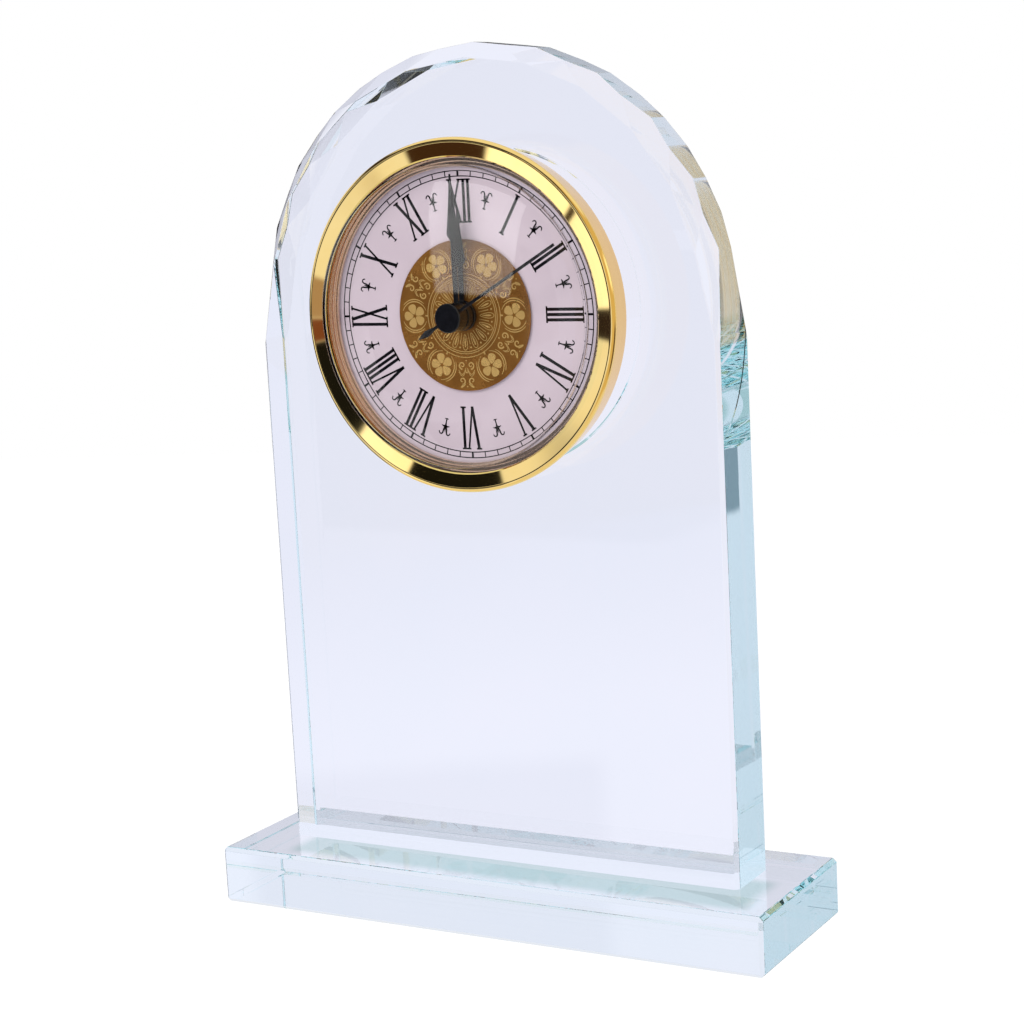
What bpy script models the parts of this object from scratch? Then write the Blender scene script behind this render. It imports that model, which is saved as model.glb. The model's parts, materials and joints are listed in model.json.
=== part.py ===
"""Crystal desk clock.

A clear glass slab with a round, diamond-cut top is bonded on edge to a glass base block. A
quartz clock insert is pushed from the front into a through bore in the slab and held there by
a ribbed rubber gasket. The insert is a gilt bezel, a domed lens, a stepped reflector ring, a
dial and a moulded case that carries a battery movement with its whole wheel train.

Frame: metres, +Z up, +X to the right and -Y towards the viewer. The origin is the centre of
the base's underside. Depths along Y are measured from the slab's front face, negative in
front of it. Angles on the dial run clockwise from twelve o'clock.
"""

import math

import bmesh
import bpy
from mathutils import Vector
from mathutils.geometry import convex_hull_2d

MM = 0.001
FIT = 0.3 * MM
CLOSE_FIT = 0.15 * MM
OVERSHOOT = 1.0 * MM

# Base block
BASE_WIDTH = 160.0 * MM
BASE_DEPTH = 50.0 * MM
BASE_HEIGHT = 15.5 * MM
GLASS_CHAMFER = 1.0 * MM

# Upright slab and its arch
SLAB_THICKNESS = 18.2 * MM
SLAB_SETBACK = 0.9 * MM
SLAB_HALF_WIDTH = 66.65 * MM
ARCH_CENTRE_HEIGHT = 160.7 * MM

# Diamond cut along the arch
FACET_COUNT = 12
FACET_OVERRUN = 3.9
FACET_EDGE_INSET = 0.65 * MM
FACET_FACE_INSET = 4.45 * MM
FACET_DEPTH = 3.7 * MM
RUNOUT_ANGLE = 11.6
RUNOUT_FACE_INSET = 3.25 * MM

# Bore and the axis of the clock insert
CLOCK_HEIGHT = 159.8 * MM
BORE_RADIUS = 41.0 * MM

# Bezel
BEZEL_RADIUS = 44.4 * MM
BEZEL_FOOT_RADIUS = 42.6 * MM
BEZEL_DEPTH = 10.3 * MM
BEZEL_EDGE_ROUNDING = 1.1 * MM
BEZEL_BAND_ANGLE = 10.0
BEZEL_LIP_RADIUS = 39.5 * MM
BEZEL_LIP_BEVEL = 0.3 * MM
BEZEL_POCKET_DEPTH = 9.1 * MM
BEZEL_POCKET_RADIUS = 40.6 * MM
BEZEL_ROLLED_LIP = 1.5 * MM

# Lens
LENS_APEX = 16.7 * MM
LENS_WALL = 1.0 * MM
LENS_FLANGE = 1.0 * MM
LENS_SHOULDER = 1.5 * MM
LENS_FULLNESS = 3.0

# Dial stack
DIAL_FRONT = 5.2 * MM
DIAL_THICKNESS = 0.5 * MM
DIAL_HOLE_RADIUS = 3.5 * MM
CENTRE_DISC_RADIUS = 19.0 * MM
CENTRE_DISC_THICKNESS = 0.3 * MM
REFLECTOR_INNER_RADIUS = 37.4 * MM
REFLECTOR_STEPS = 2
REFLECTOR_RISE = 0.6 * MM

# Insert case and gasket
CASE_RADIUS = 39.2 * MM
CASE_WALL = 1.2 * MM
CASE_DEPTH = 15.2 * MM
CASE_WEB_DEPTH = 5.4 * MM
CASE_WEB = 1.2 * MM
GASKET_START = 1.2 * MM
GASKET_RIBS = 3
GASKET_RIB_PITCH = 3.2 * MM
GASKET_RIB_LAND = 0.8 * MM
GASKET_BODY = 0.6 * MM

# Movement: plate, cover, bridge and pillars
PLATE_THICKNESS = 0.8 * MM
BUSH_BORE = 2.5 * MM
BUSH_RADIUS = 3.2 * MM
PILLAR_RADIUS = 1.2 * MM
COVER_RADIUS = 25.0 * MM
COVER_WALL = 1.0 * MM
COVER_BEVEL = 0.6 * MM
BEARING_RADIUS = 1.3 * MM
BEARING_HEIGHT = 0.5 * MM
BRIDGE_THICKNESS = 0.4 * MM
BRIDGE_MARGIN = 2.2 * MM
BRIDGE_THIRD_HOLE = 1.5 * MM
BRIDGE_PILLARS = ((-13.0 * MM, 5.3 * MM), (-9.5 * MM, -4.5 * MM), (12.0 * MM, -2.5 * MM))

# Screws that hold the movement to the case
CASE_SCREW_CIRCLE = 31.5 * MM
CASE_SCREW_ANGLES = (0.0, 120.0, 240.0)
SCREW_BOSS_RADIUS = 3.0 * MM
SCREW_RADIUS = 1.2 * MM
SCREW_LENGTH = 6.0 * MM
SCREW_HEAD_RADIUS = 2.4 * MM
SCREW_HEAD = 1.3 * MM
SCREW_HEAD_BEVEL = 0.3 * MM
SCREW_SLOT_WIDTH = 0.5 * MM
SCREW_SLOT_DEPTH = 0.6 * MM

# Wheels and pinions
WHEEL_THICKNESS = 0.4 * MM
PINION_OVERLAP = 0.3 * MM
LEVEL_GAP = 0.5 * MM
TRAIN_MODULE = 0.3 * MM
ROTOR_MODULE = 0.25 * MM
TOOTH_ADDENDUM = 0.75
TOOTH_DEDENDUM = 1.15
TOOTH_ROOT_SHARE = 0.42
TOOTH_TIP_SHARE = 0.16
ARBOR_RADIUS = 0.4 * MM
ROTOR_LEAVES = 6
INTERMEDIATE_TEETH = 36
INTERMEDIATE_LEAVES = 6
SECONDS_TEETH = 30
SECONDS_LEAVES = 6
THIRD_TEETH = 45
THIRD_LEAVES = 6
CENTRE_TEETH = 48
CANNON_TEETH = 10
MINUTE_WHEEL_TEETH = 30
MINUTE_LEAVES = 8
HOUR_TEETH = 32
KNOB_LEAVES = 8
THIRD_ANGLE = 60.0
ROTOR_ANGLE = 300.0
MINUTE_ANGLE = 180.0

# Stepping motor
MAGNET_RADIUS = 2.3 * MM
MAGNET_LENGTH = 1.2 * MM
MAGNET_AIR_GAP = 0.4 * MM
STATOR_THICKNESS = 0.7 * MM
STATOR_RING = 1.5 * MM
STATOR_ARM = 1.3 * MM
STATOR_FEET = ((-16.5 * MM, -10.0 * MM), (-5.5 * MM, -10.0 * MM))
CORE_WIDTH = 2.4 * MM
COIL_LENGTH = 5.4 * MM
COIL_FLANGE_RADIUS = 2.3 * MM
COIL_FLANGE = 0.6 * MM
COIL_WINDING_RADIUS = 2.0 * MM

# Button cell and its contacts
CELL_RADIUS = 5.8 * MM
CELL_HEIGHT = 5.4 * MM
CELL_STEP = 0.9 * MM
CELL_RECESS = 0.6 * MM
CELL_PLACE = (13.0 * MM, -10.4 * MM)
CONTACT_THICKNESS = 0.3 * MM
LEAF_HALF_WIDTH = 1.5 * MM
LEAF_END = (12.0 * MM, -18.4 * MM)
SPRING_START_ANGLE = 95
SPRING_END_ANGLE = 175
SPRING_STEP_ANGLE = 16

# Circuit board, chip and quartz can
BOARD_THICKNESS = 0.6 * MM
BOARD_STANDOFF = 0.8 * MM
BOARD_HALF_WIDTH = 14.0 * MM
BOARD_BOTTOM = 9.6 * MM
BOARD_TOP = 17.4 * MM
BOARD_TAPER = 1.0 * MM
BOARD_PILLARS = ((-11.0 * MM, 13.5 * MM), (11.0 * MM, 13.5 * MM))
CHIP_PLACE = (-8.0 * MM, 13.5 * MM)
CHIP_RADIUS = 1.8 * MM
CHIP_HEIGHT = 1.0 * MM
CAN_HEIGHT = 14.5 * MM
CAN_RADIUS = 1.0 * MM
CAN_LENGTH = 6.2 * MM
CAN_BEVEL = 0.2 * MM

# Setting knob
KNOB_RADIUS = 5.0 * MM
KNOB_HEIGHT = 3.6 * MM
KNOB_SHAFT_RADIUS = 0.8 * MM
KNOB_FLUTES = 14
KNOB_FLUTE_DEPTH = 0.4 * MM

# Tubes that carry the hands
CANNON_BORE = 0.75 * MM
CANNON_RADIUS = 1.3 * MM
HOUR_TUBE_BORE = 1.65 * MM
HOUR_TUBE_RADIUS = 2.15 * MM

# Hands: the height of each blade's front above the dial, then outlines and hubs
HAND_THICKNESS = 0.35 * MM
HUB_RELIEF = 0.25 * MM
HOUR_HAND_HEIGHT = 1.4 * MM
HOUR_HAND_LENGTH = 26.3 * MM
HOUR_HAND_NECK = 12.2 * MM
HOUR_HAND_BELLY = 14.1 * MM
HOUR_HAND_BELLY_WIDTH = 3.0 * MM
HOUR_HUB_RADIUS = 3.85 * MM
MINUTE_HAND_HEIGHT = 4.1 * MM
MINUTE_HAND_LENGTH = 35.25 * MM
MINUTE_HAND_NECK = 18.5 * MM
MINUTE_HAND_BELLY = 20.6 * MM
MINUTE_HAND_BELLY_WIDTH = 3.3 * MM
MINUTE_HUB_RADIUS = 3.7 * MM
HAND_STEM_WIDTH = 1.4 * MM
HAND_TIP_WIDTH = 0.4 * MM
SECONDS_HAND_HEIGHT = 7.9 * MM
SECONDS_HAND_LENGTH = 35.0 * MM
SECONDS_HAND_WIDTH = 0.8 * MM
SECONDS_TAIL_LENGTH = 11.0 * MM
SECONDS_TAIL_WIDEST = 7.9 * MM
SECONDS_TAIL_NECK = 5.2 * MM
SECONDS_TAIL_WIDTH = 1.8 * MM
SECONDS_CAP_RADIUS = 3.7 * MM
SECONDS_CAP_RELIEF = 0.9 * MM
SECONDS_CAP_BEVEL = 0.3 * MM

# Time shown: twelve o'clock and ten seconds
HOUR_HAND_ANGLE = 0.0
MINUTE_HAND_ANGLE = 0.0
SECONDS_HAND_ANGLE = 60.0

# Segments of the round pieces
RING_STEPS = 44
HIDDEN_RING_STEPS = 32
HUB_STEPS = 20
ROD_STEPS = 12
BAND_STEPS = 5
DOME_STEPS = 5
SMOOTH_ANGLE = 32.0
CUT_GLASS_ANGLE = 8.0

# Depths and radii that follow from the sizes above
SLAB_FRONT = SLAB_SETBACK - SLAB_THICKNESS / 2
SLAB_BOTTOM = BASE_HEIGHT + FIT
FACET_STEP = (180.0 + 2 * FACET_OVERRUN) / FACET_COUNT
POCKET_FRONT = -BEZEL_POCKET_DEPTH
ROLLED_FRONT = -FIT - BEZEL_ROLLED_LIP
FLANGE_RADIUS = BEZEL_POCKET_RADIUS - FIT
CASE_INNER = CASE_RADIUS - CASE_WALL
LENS_BACK = POCKET_FRONT + FIT + LENS_FLANGE
DIAL_BACK = -DIAL_FRONT + DIAL_THICKNESS
CENTRE_DISC_FRONT = -DIAL_FRONT - FIT - CENTRE_DISC_THICKNESS
PLATE_FRONT = DIAL_BACK + 2 * FIT
PLATE_BACK = PLATE_FRONT + PLATE_THICKNESS
BOARD_FRONT = PLATE_BACK + BOARD_STANDOFF + FIT
HOUR_LEVEL = PLATE_BACK + FIT
MINUTE_LEVEL = HOUR_LEVEL + WHEEL_THICKNESS + LEVEL_GAP
CENTRE_LEVEL = MINUTE_LEVEL + WHEEL_THICKNESS + 2 * PINION_OVERLAP + FIT
BRIDGE_FRONT = CENTRE_LEVEL + WHEEL_THICKNESS + LEVEL_GAP
BRIDGE_BACK = BRIDGE_FRONT + BRIDGE_THICKNESS
THIRD_LEVEL = BRIDGE_BACK + LEVEL_GAP + PINION_OVERLAP
SECONDS_LEVEL = THIRD_LEVEL + WHEEL_THICKNESS + PINION_OVERLAP + LEVEL_GAP
INTERMEDIATE_LEVEL = SECONDS_LEVEL + WHEEL_THICKNESS + PINION_OVERLAP + LEVEL_GAP
MAGNET_LEVEL = INTERMEDIATE_LEVEL + WHEEL_THICKNESS + PINION_OVERLAP + LEVEL_GAP
STATOR_LEVEL = MAGNET_LEVEL + (MAGNET_LENGTH - STATOR_THICKNESS) / 2
COVER_FLOOR = MAGNET_LEVEL + MAGNET_LENGTH + 2 * LEVEL_GAP
COVER_BACK = COVER_FLOOR + COVER_WALL
ARBOR_BACK = COVER_FLOOR - FIT
SCREW_TIP = CASE_WEB_DEPTH - SCREW_LENGTH
HOUR_BLADE = -DIAL_FRONT - HOUR_HAND_HEIGHT
MINUTE_BLADE = -DIAL_FRONT - MINUTE_HAND_HEIGHT
SECONDS_BLADE = -DIAL_FRONT - SECONDS_HAND_HEIGHT


def material(name, colour, roughness, metallic=0.0, transmission=0.0):
    """A Principled material with plain values."""
    made = bpy.data.materials.new(name)
    made.use_nodes = True
    shader = made.node_tree.nodes["Principled BSDF"]
    shader.inputs["Base Color"].default_value = (*colour, 1.0)
    shader.inputs["Roughness"].default_value = roughness
    shader.inputs["Metallic"].default_value = metallic
    shader.inputs["Transmission Weight"].default_value = transmission
    made.diffuse_color = (*colour, 1.0)
    return made


def clock_point(radius, angle):
    """The point (x, z) at a radius from the axis and a dial angle in degrees."""
    turn = math.radians(angle)
    return radius * math.sin(turn), radius * math.cos(turn)


def add_points(first, second):
    """The sum of two (x, z) points."""
    return first[0] + second[0], first[1] + second[1]


def arc(centre, radius, start, end, steps):
    """Points on an arc in a profile plane, angles in degrees."""
    points = []
    for index in range(steps + 1):
        turn = math.radians(start + (end - start) * index / steps)
        points.append((centre[0] + radius * math.cos(turn), centre[1] + radius * math.sin(turn)))
    return points


def mirrored(side):
    """Close an outline with the mirror image, in reverse order, of its right side."""
    return side + [(-x, z) for x, z in reversed(side) if x > 0.0]


def new_object(name, bm):
    """Put a bmesh into a linked object, its faces turned outwards."""
    bmesh.ops.recalc_face_normals(bm, faces=bm.faces)
    mesh = bpy.data.meshes.new(name)
    bm.to_mesh(mesh)
    bm.free()
    made = bpy.data.objects.new(name, mesh)
    bpy.context.scene.collection.objects.link(made)
    return made


def turned(name, profile, steps=RING_STEPS):
    """Spin a profile of (radius, y) points about the Y axis.

    A profile that begins and ends on the axis makes a solid, any other closes on itself.
    """
    bm = bmesh.new()
    verts = [bm.verts.new((radius, y, 0.0)) for radius, y in profile]
    pairs = list(zip(verts, verts[1:]))
    if profile[0][0] > 0.0:
        pairs.append((verts[-1], verts[0]))
    edges = [bm.edges.new(pair) for pair in pairs]
    bmesh.ops.spin(bm, geom=verts + edges, cent=(0, 0, 0), axis=(0, 1, 0), dvec=(0, 0, 0),
                   angle=2 * math.pi, steps=steps, use_duplicate=False)
    bmesh.ops.remove_doubles(bm, verts=bm.verts, dist=0.001 * MM)
    return new_object(name, bm)


def prism(name, outline, front, back):
    """Extrude an outline of (x, z) points along Y."""
    bm = bmesh.new()
    face = bm.faces.new([bm.verts.new((x, front, z)) for x, z in outline])
    grown = bmesh.ops.extrude_face_region(bm, geom=[face])["geom"]
    moved = [item for item in grown if isinstance(item, bmesh.types.BMVert)]
    bmesh.ops.translate(bm, verts=moved, vec=(0, back - front, 0))
    return new_object(name, bm)


def rod(radius, front, back, centre=(0.0, 0.0), steps=ROD_STEPS):
    """A plain round bar along Y."""
    return prism("rod", circle(radius, centre, steps), front, back)


def circle(radius, centre=(0.0, 0.0), steps=ROD_STEPS):
    """An outline of (x, z) points on a circle."""
    return [add_points(centre, clock_point(radius, 360 * index / steps)) for index in range(steps)]


def capsule(start, end, half_width):
    """The outline of a bar with round ends between two (x, z) points."""
    angle = math.degrees(math.atan2(end[0] - start[0], end[1] - start[1]))
    steps = ROD_STEPS // 2
    outline = []
    for centre, first in ((end, angle - 90), (start, angle + 90)):
        for index in range(steps + 1):
            outline.append(add_points(centre, clock_point(half_width, first + 180 * index / steps)))
    return outline


def lay_along_x(part, centre):
    """Turn a part whose axis is Y so that it lies along X, and move it to a point."""
    for vert in part.data.vertices:
        across, along, up = vert.co
        vert.co = (centre[0] + along, centre[1] - across, centre[2] + up)


def boolean(target, tools, operation):
    """Join tools to the target or cut them away, and delete the tools."""
    for tool in tools:
        modifier = target.modifiers.new("boolean", "BOOLEAN")
        modifier.operation = operation
        modifier.solver = "EXACT"
        modifier.object = tool
    bpy.context.view_layer.update()
    graph = bpy.context.evaluated_depsgraph_get()
    mesh = bpy.data.meshes.new_from_object(target.evaluated_get(graph))
    target.modifiers.clear()
    old = target.data
    target.data = mesh
    bpy.data.meshes.remove(old)
    for tool in tools:
        used = tool.data
        bpy.data.objects.remove(tool, do_unlink=True)
        bpy.data.meshes.remove(used)
    return target


def join(target, *tools):
    """Fuse tools with the target."""
    return boolean(target, tools, "UNION")


def cut(target, *tools):
    """Cut tools out of the target."""
    return boolean(target, tools, "DIFFERENCE")


def gear_outline(teeth, module, phase):
    """Straight-sided teeth, thinner than their gaps, with one tooth centred on the phase."""
    pitch_radius = teeth * module / 2
    root = pitch_radius - TOOTH_DEDENDUM * module
    tip = pitch_radius + TOOTH_ADDENDUM * module
    pitch = 360.0 / teeth
    outline = []
    for index in range(teeth):
        middle = phase + index * pitch
        outline.append(clock_point(root, middle - pitch * TOOTH_ROOT_SHARE / 2))
        outline.append(clock_point(tip, middle - pitch * TOOTH_TIP_SHARE / 2))
        outline.append(clock_point(tip, middle + pitch * TOOTH_TIP_SHARE / 2))
        outline.append(clock_point(root, middle + pitch * TOOTH_ROOT_SHARE / 2))
    return outline


def gear(name, teeth, module, phase, front, back):
    """A toothed disc between two depths."""
    return prism(name, gear_outline(teeth, module, phase), front, back)


def facing_gap(teeth, direction):
    """The phase that turns a gap between two teeth towards a partner's tooth."""
    return direction + 180.0 / teeth


def place(part, finish, owner, centre=(0.0, 0.0), rotation=0.0):
    """Dress a part of the clock and put it on its axis, under its owner.

    It is modelled with its depths from the slab's face and its axis through the origin.
    """
    dress(part, finish, owner, SMOOTH_ANGLE)
    part.rotation_euler.y = math.radians(rotation)
    part.location = (centre[0], SLAB_FRONT, CLOCK_HEIGHT + centre[1])


def dress(part, finish, owner, smooth_angle):
    """Give a part its material, its shading and its owner."""
    part.data.materials.clear()
    part.data.materials.append(finish)
    part.data.shade_smooth()
    part.data.set_sharp_from_angle(angle=math.radians(smooth_angle))
    part.parent = owner


def group(name, owner=None):
    """An empty that holds the parts of one sub-assembly."""
    empty = bpy.data.objects.new(name + "_group", None)
    bpy.context.scene.collection.objects.link(empty)
    empty.parent = owner
    return empty


def chamfered_block(low, high, upright_only=False):
    """A rectangular glass block with flat chamfers, on all edges or the upright ones."""
    bm = bmesh.new()
    bmesh.ops.create_cube(bm, size=1.0)
    size = Vector(high) - Vector(low)
    bmesh.ops.scale(bm, vec=size, verts=bm.verts)
    bmesh.ops.translate(bm, vec=(Vector(high) + Vector(low)) / 2, verts=bm.verts)
    edges = bm.edges[:]
    if upright_only:
        edges = [edge for edge in edges if abs((edge.verts[0].co - edge.verts[1].co).z) > GLASS_CHAMFER]
    bmesh.ops.bevel(bm, geom=edges, offset=GLASS_CHAMFER, offset_type="OFFSET", segments=1,
                    profile=0.5, affect="EDGES")
    return bm


def slice_off(bm, point, normal):
    """Grind one flat facet: remove what lies beyond a plane and close the cut."""
    geometry = bm.verts[:] + bm.edges[:] + bm.faces[:]
    result = bmesh.ops.bisect_plane(bm, geom=geometry, dist=0.001 * MM, plane_co=point,
                                    plane_no=normal, clear_outer=True)
    rim = [item for item in result["geom_cut"] if isinstance(item, bmesh.types.BMEdge)]
    if rim:
        bmesh.ops.edgeloop_fill(bm, edges=rim)


def arch_facets():
    """The planes of the diamond cut as (point, normal) pairs.

    Three families share the arch. Edge facets stand square to the slab's faces. Triangles
    lie between them and each face, over the same angles. Kites lie between the triangles
    and run from a corner of the face to the seam of two edge facets.
    """
    half_step = math.radians(FACET_STEP / 2)
    edge_radius = SLAB_HALF_WIDTH - FACET_EDGE_INSET
    face_radius = SLAB_HALF_WIDTH - FACET_FACE_INSET
    runout_radius = SLAB_HALF_WIDTH - RUNOUT_FACE_INSET
    corner_radius = face_radius / math.cos(half_step)
    seam_radius = edge_radius * math.cos(half_step)
    planes = []

    def add(angle, radius, rim_radius):
        turn = math.radians(angle)
        outward = Vector((math.cos(turn), 0.0, math.sin(turn)))
        for side in (-1, 1):
            face = SLAB_SETBACK + side * SLAB_THICKNESS / 2
            point = Vector((0.0, face, ARCH_CENTRE_HEIGHT)) + outward * radius
            normal = outward * FACET_DEPTH + Vector((0.0, side * (rim_radius - radius), 0.0))
            planes.append((point, normal.normalized()))

    for index in range(FACET_COUNT):
        angle = -FACET_OVERRUN + (index + 0.5) * FACET_STEP
        add(angle, edge_radius, edge_radius)
        if index == 0:
            add(RUNOUT_ANGLE, runout_radius, edge_radius)
        elif index == FACET_COUNT - 1:
            add(180.0 - RUNOUT_ANGLE, runout_radius, edge_radius)
        else:
            add(angle, face_radius, edge_radius)
    for index in range(1, FACET_COUNT):
        add(-FACET_OVERRUN + index * FACET_STEP, corner_radius, seam_radius)
    return planes


def make_base():
    """The solid block that the clock stands on."""
    low = (-BASE_WIDTH / 2, -BASE_DEPTH / 2, 0.0)
    high = (BASE_WIDTH / 2, BASE_DEPTH / 2, BASE_HEIGHT)
    return new_object("glass_base", chamfered_block(low, high))


def make_slab():
    """The upright slab: chamfered, ground to its facets and bored through."""
    top = ARCH_CENTRE_HEIGHT + SLAB_HALF_WIDTH + OVERSHOOT
    low = (-SLAB_HALF_WIDTH, SLAB_FRONT, SLAB_BOTTOM)
    high = (SLAB_HALF_WIDTH, SLAB_FRONT + SLAB_THICKNESS, top)
    bm = chamfered_block(low, high, upright_only=True)
    for point, normal in arch_facets():
        slice_off(bm, point, normal)
    slab = new_object("glass_slab", bm)
    bore = rod(BORE_RADIUS, SLAB_FRONT - OVERSHOOT, SLAB_FRONT + SLAB_THICKNESS + OVERSHOOT,
               (0.0, CLOCK_HEIGHT), RING_STEPS)
    return cut(slab, bore)


def make_bezel():
    """The gilt bezel: a flared side, a rounded edge, a front band that falls inwards and a bevelled lip."""
    edge_centre = (BEZEL_RADIUS - BEZEL_EDGE_ROUNDING, -BEZEL_DEPTH + BEZEL_EDGE_ROUNDING)
    edge = arc(edge_centre, BEZEL_EDGE_ROUNDING, 0.0, -90.0 - BEZEL_BAND_ANGLE, BAND_STEPS)
    band_radius, band_front = edge[-1]
    lip_corner = BEZEL_LIP_RADIUS + BEZEL_LIP_BEVEL
    lip_front = band_front + (band_radius - lip_corner) * math.tan(math.radians(BEZEL_BAND_ANGLE))
    profile = [(BEZEL_FOOT_RADIUS, -FIT)] + edge + [(lip_corner, lip_front)]
    profile += [(BEZEL_LIP_RADIUS, lip_front + BEZEL_LIP_BEVEL), (BEZEL_LIP_RADIUS, POCKET_FRONT)]
    profile += [(BEZEL_POCKET_RADIUS, POCKET_FRONT), (BEZEL_POCKET_RADIUS, ROLLED_FRONT)]
    profile += [(CASE_RADIUS + FIT, ROLLED_FRONT), (CASE_RADIUS + FIT, -FIT)]
    return turned("bezel", profile)


def dome(radius, edge, apex):
    """A dome from its edge to the axis, fuller than an ellipse."""
    points = []
    for index in range(DOME_STEPS):
        share = math.cos(math.pi / 2 * index / DOME_STEPS)
        height = (1 - share ** LENS_FULLNESS) ** (1 / LENS_FULLNESS)
        points.append((radius * share, edge + (apex - edge) * height))
    return points + [(0.0, apex)]


def make_lens():
    """The domed lens: a thin shell with a flange behind the bezel's lip."""
    flange_front = POCKET_FRONT + FIT
    outer = BEZEL_LIP_RADIUS - FIT
    inner = outer - LENS_WALL
    edge = flange_front - LENS_SHOULDER
    profile = dome(outer, edge, -LENS_APEX)[::-1]
    profile += [(outer, flange_front), (FLANGE_RADIUS, flange_front), (FLANGE_RADIUS, LENS_BACK)]
    profile += [(inner, LENS_BACK)] + dome(inner, edge, LENS_WALL - LENS_APEX)
    return turned("lens", profile)


def make_reflector_ring():
    """The stepped ring that holds the lens off the dial."""
    back = -DIAL_FRONT - FIT
    width = (FLANGE_RADIUS - REFLECTOR_INNER_RADIUS) / (REFLECTOR_STEPS + 1)
    radius = FLANGE_RADIUS
    depth = LENS_BACK + FIT
    profile = [(radius, back), (radius, depth)]
    for _ in range(REFLECTOR_STEPS):
        radius -= width
        profile += [(radius, depth), (radius, depth + REFLECTOR_RISE)]
        depth += REFLECTOR_RISE
    profile += [(REFLECTOR_INNER_RADIUS, depth), (REFLECTOR_INNER_RADIUS, back)]
    return turned("reflector_ring", profile)


def washer(name, outer, hole, front, back, steps):
    """A flat disc with a round hole."""
    return turned(name, [(outer, back), (outer, front), (hole, front), (hole, back)], steps)


def make_dial():
    """The dial plate."""
    return washer("dial", FLANGE_RADIUS, DIAL_HOLE_RADIUS, -DIAL_FRONT, DIAL_BACK, RING_STEPS)


def make_centre_disc():
    """The gilt disc on the middle of the dial."""
    return washer("dial_centre", CENTRE_DISC_RADIUS, DIAL_HOLE_RADIUS, CENTRE_DISC_FRONT,
                  -DIAL_FRONT - FIT, HIDDEN_RING_STEPS)


def make_case():
    """The moulded case: flange, tube and a recessed web with a window for the movement."""
    window = COVER_RADIUS + FIT
    web_back = CASE_WEB_DEPTH + CASE_WEB
    flange_back = ROLLED_FRONT - FIT
    rim = DIAL_BACK + FIT
    profile = [(FLANGE_RADIUS, rim), (FLANGE_RADIUS, flange_back), (CASE_RADIUS, flange_back)]
    profile += [(CASE_RADIUS, CASE_DEPTH), (CASE_INNER, CASE_DEPTH), (CASE_INNER, web_back)]
    profile += [(window, web_back), (window, CASE_WEB_DEPTH), (CASE_INNER, CASE_WEB_DEPTH)]
    profile += [(CASE_INNER, rim)]
    case = turned("insert_case", profile, HIDDEN_RING_STEPS)
    holes = []
    for angle in CASE_SCREW_ANGLES:
        centre = clock_point(CASE_SCREW_CIRCLE, angle)
        holes.append(rod(SCREW_RADIUS + FIT, CASE_WEB_DEPTH - OVERSHOOT, web_back + OVERSHOOT, centre))
    return cut(case, *holes)


def make_gasket():
    """The rubber sleeve, its ribs rising towards the front so that it holds in the bore."""
    inner = CASE_RADIUS + FIT
    body = inner + GASKET_BODY
    crest = BORE_RADIUS - FIT
    profile = [(inner, GASKET_START)]
    for index in range(GASKET_RIBS):
        start = GASKET_START + index * GASKET_RIB_PITCH
        profile += [(body, start), (crest, start + GASKET_RIB_PITCH - GASKET_RIB_LAND)]
        profile += [(body, start + GASKET_RIB_PITCH - GASKET_RIB_LAND)]
    end = GASKET_START + GASKET_RIBS * GASKET_RIB_PITCH
    profile += [(body, end), (inner, end)]
    return turned("gasket", profile, HIDDEN_RING_STEPS)


def pivot_places():
    """The axes of the wheels as (x, z) points from the clock's axis."""
    reach = (THIRD_TEETH + SECONDS_LEAVES) * TRAIN_MODULE / 2
    third = clock_point(reach, THIRD_ANGLE)
    reach = (SECONDS_TEETH + INTERMEDIATE_LEAVES) * TRAIN_MODULE / 2
    intermediate = clock_point(reach, ROTOR_ANGLE)
    reach = (INTERMEDIATE_TEETH + ROTOR_LEAVES) * ROTOR_MODULE / 2
    rotor = add_points(intermediate, clock_point(reach, ROTOR_ANGLE))
    reach = (CANNON_TEETH + MINUTE_WHEEL_TEETH) * TRAIN_MODULE / 2
    minute = clock_point(reach, MINUTE_ANGLE)
    reach = (MINUTE_WHEEL_TEETH + KNOB_LEAVES) * TRAIN_MODULE / 2
    knob = add_points(minute, clock_point(reach, MINUTE_ANGLE))
    return {"centre": (0.0, 0.0), "third": third, "intermediate": intermediate, "rotor": rotor,
            "minute": minute, "knob": knob}


def make_movement_plate(pivots):
    """The front plate: centre bush, screw bosses, pillars, wheel stud and third bearing."""
    inside = (PLATE_FRONT + PLATE_BACK) / 2
    plate = rod(CASE_INNER - FIT, PLATE_FRONT, PLATE_BACK, steps=HIDDEN_RING_STEPS)
    plate.name = "movement_plate"
    screws = [clock_point(CASE_SCREW_CIRCLE, angle) for angle in CASE_SCREW_ANGLES]
    tools = [rod(BUSH_RADIUS, -DIAL_FRONT - FIT, inside, steps=HUB_STEPS)]
    tools += [rod(SCREW_BOSS_RADIUS, inside, CASE_WEB_DEPTH - FIT, centre) for centre in screws]
    tools += [rod(PILLAR_RADIUS, inside, BRIDGE_FRONT - FIT, centre) for centre in BRIDGE_PILLARS]
    tools += [rod(PILLAR_RADIUS, inside, BOARD_FRONT - FIT, centre) for centre in BOARD_PILLARS]
    tools.append(rod(ARBOR_RADIUS, inside, CENTRE_LEVEL - FIT, pivots["minute"]))
    tools.append(rod(BEARING_RADIUS, inside, PLATE_BACK + BEARING_HEIGHT, pivots["third"]))
    join(plate, *tools)
    holes = [rod(BUSH_BORE, -DIAL_FRONT - OVERSHOOT, PLATE_BACK + OVERSHOOT, steps=HUB_STEPS)]
    holes += [rod(SCREW_RADIUS + CLOSE_FIT, SCREW_TIP, CASE_WEB_DEPTH, centre) for centre in screws]
    holes.append(rod(ARBOR_RADIUS + FIT, PLATE_BACK, PLATE_BACK + OVERSHOOT, pivots["third"]))
    return cut(plate, *holes)


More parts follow.
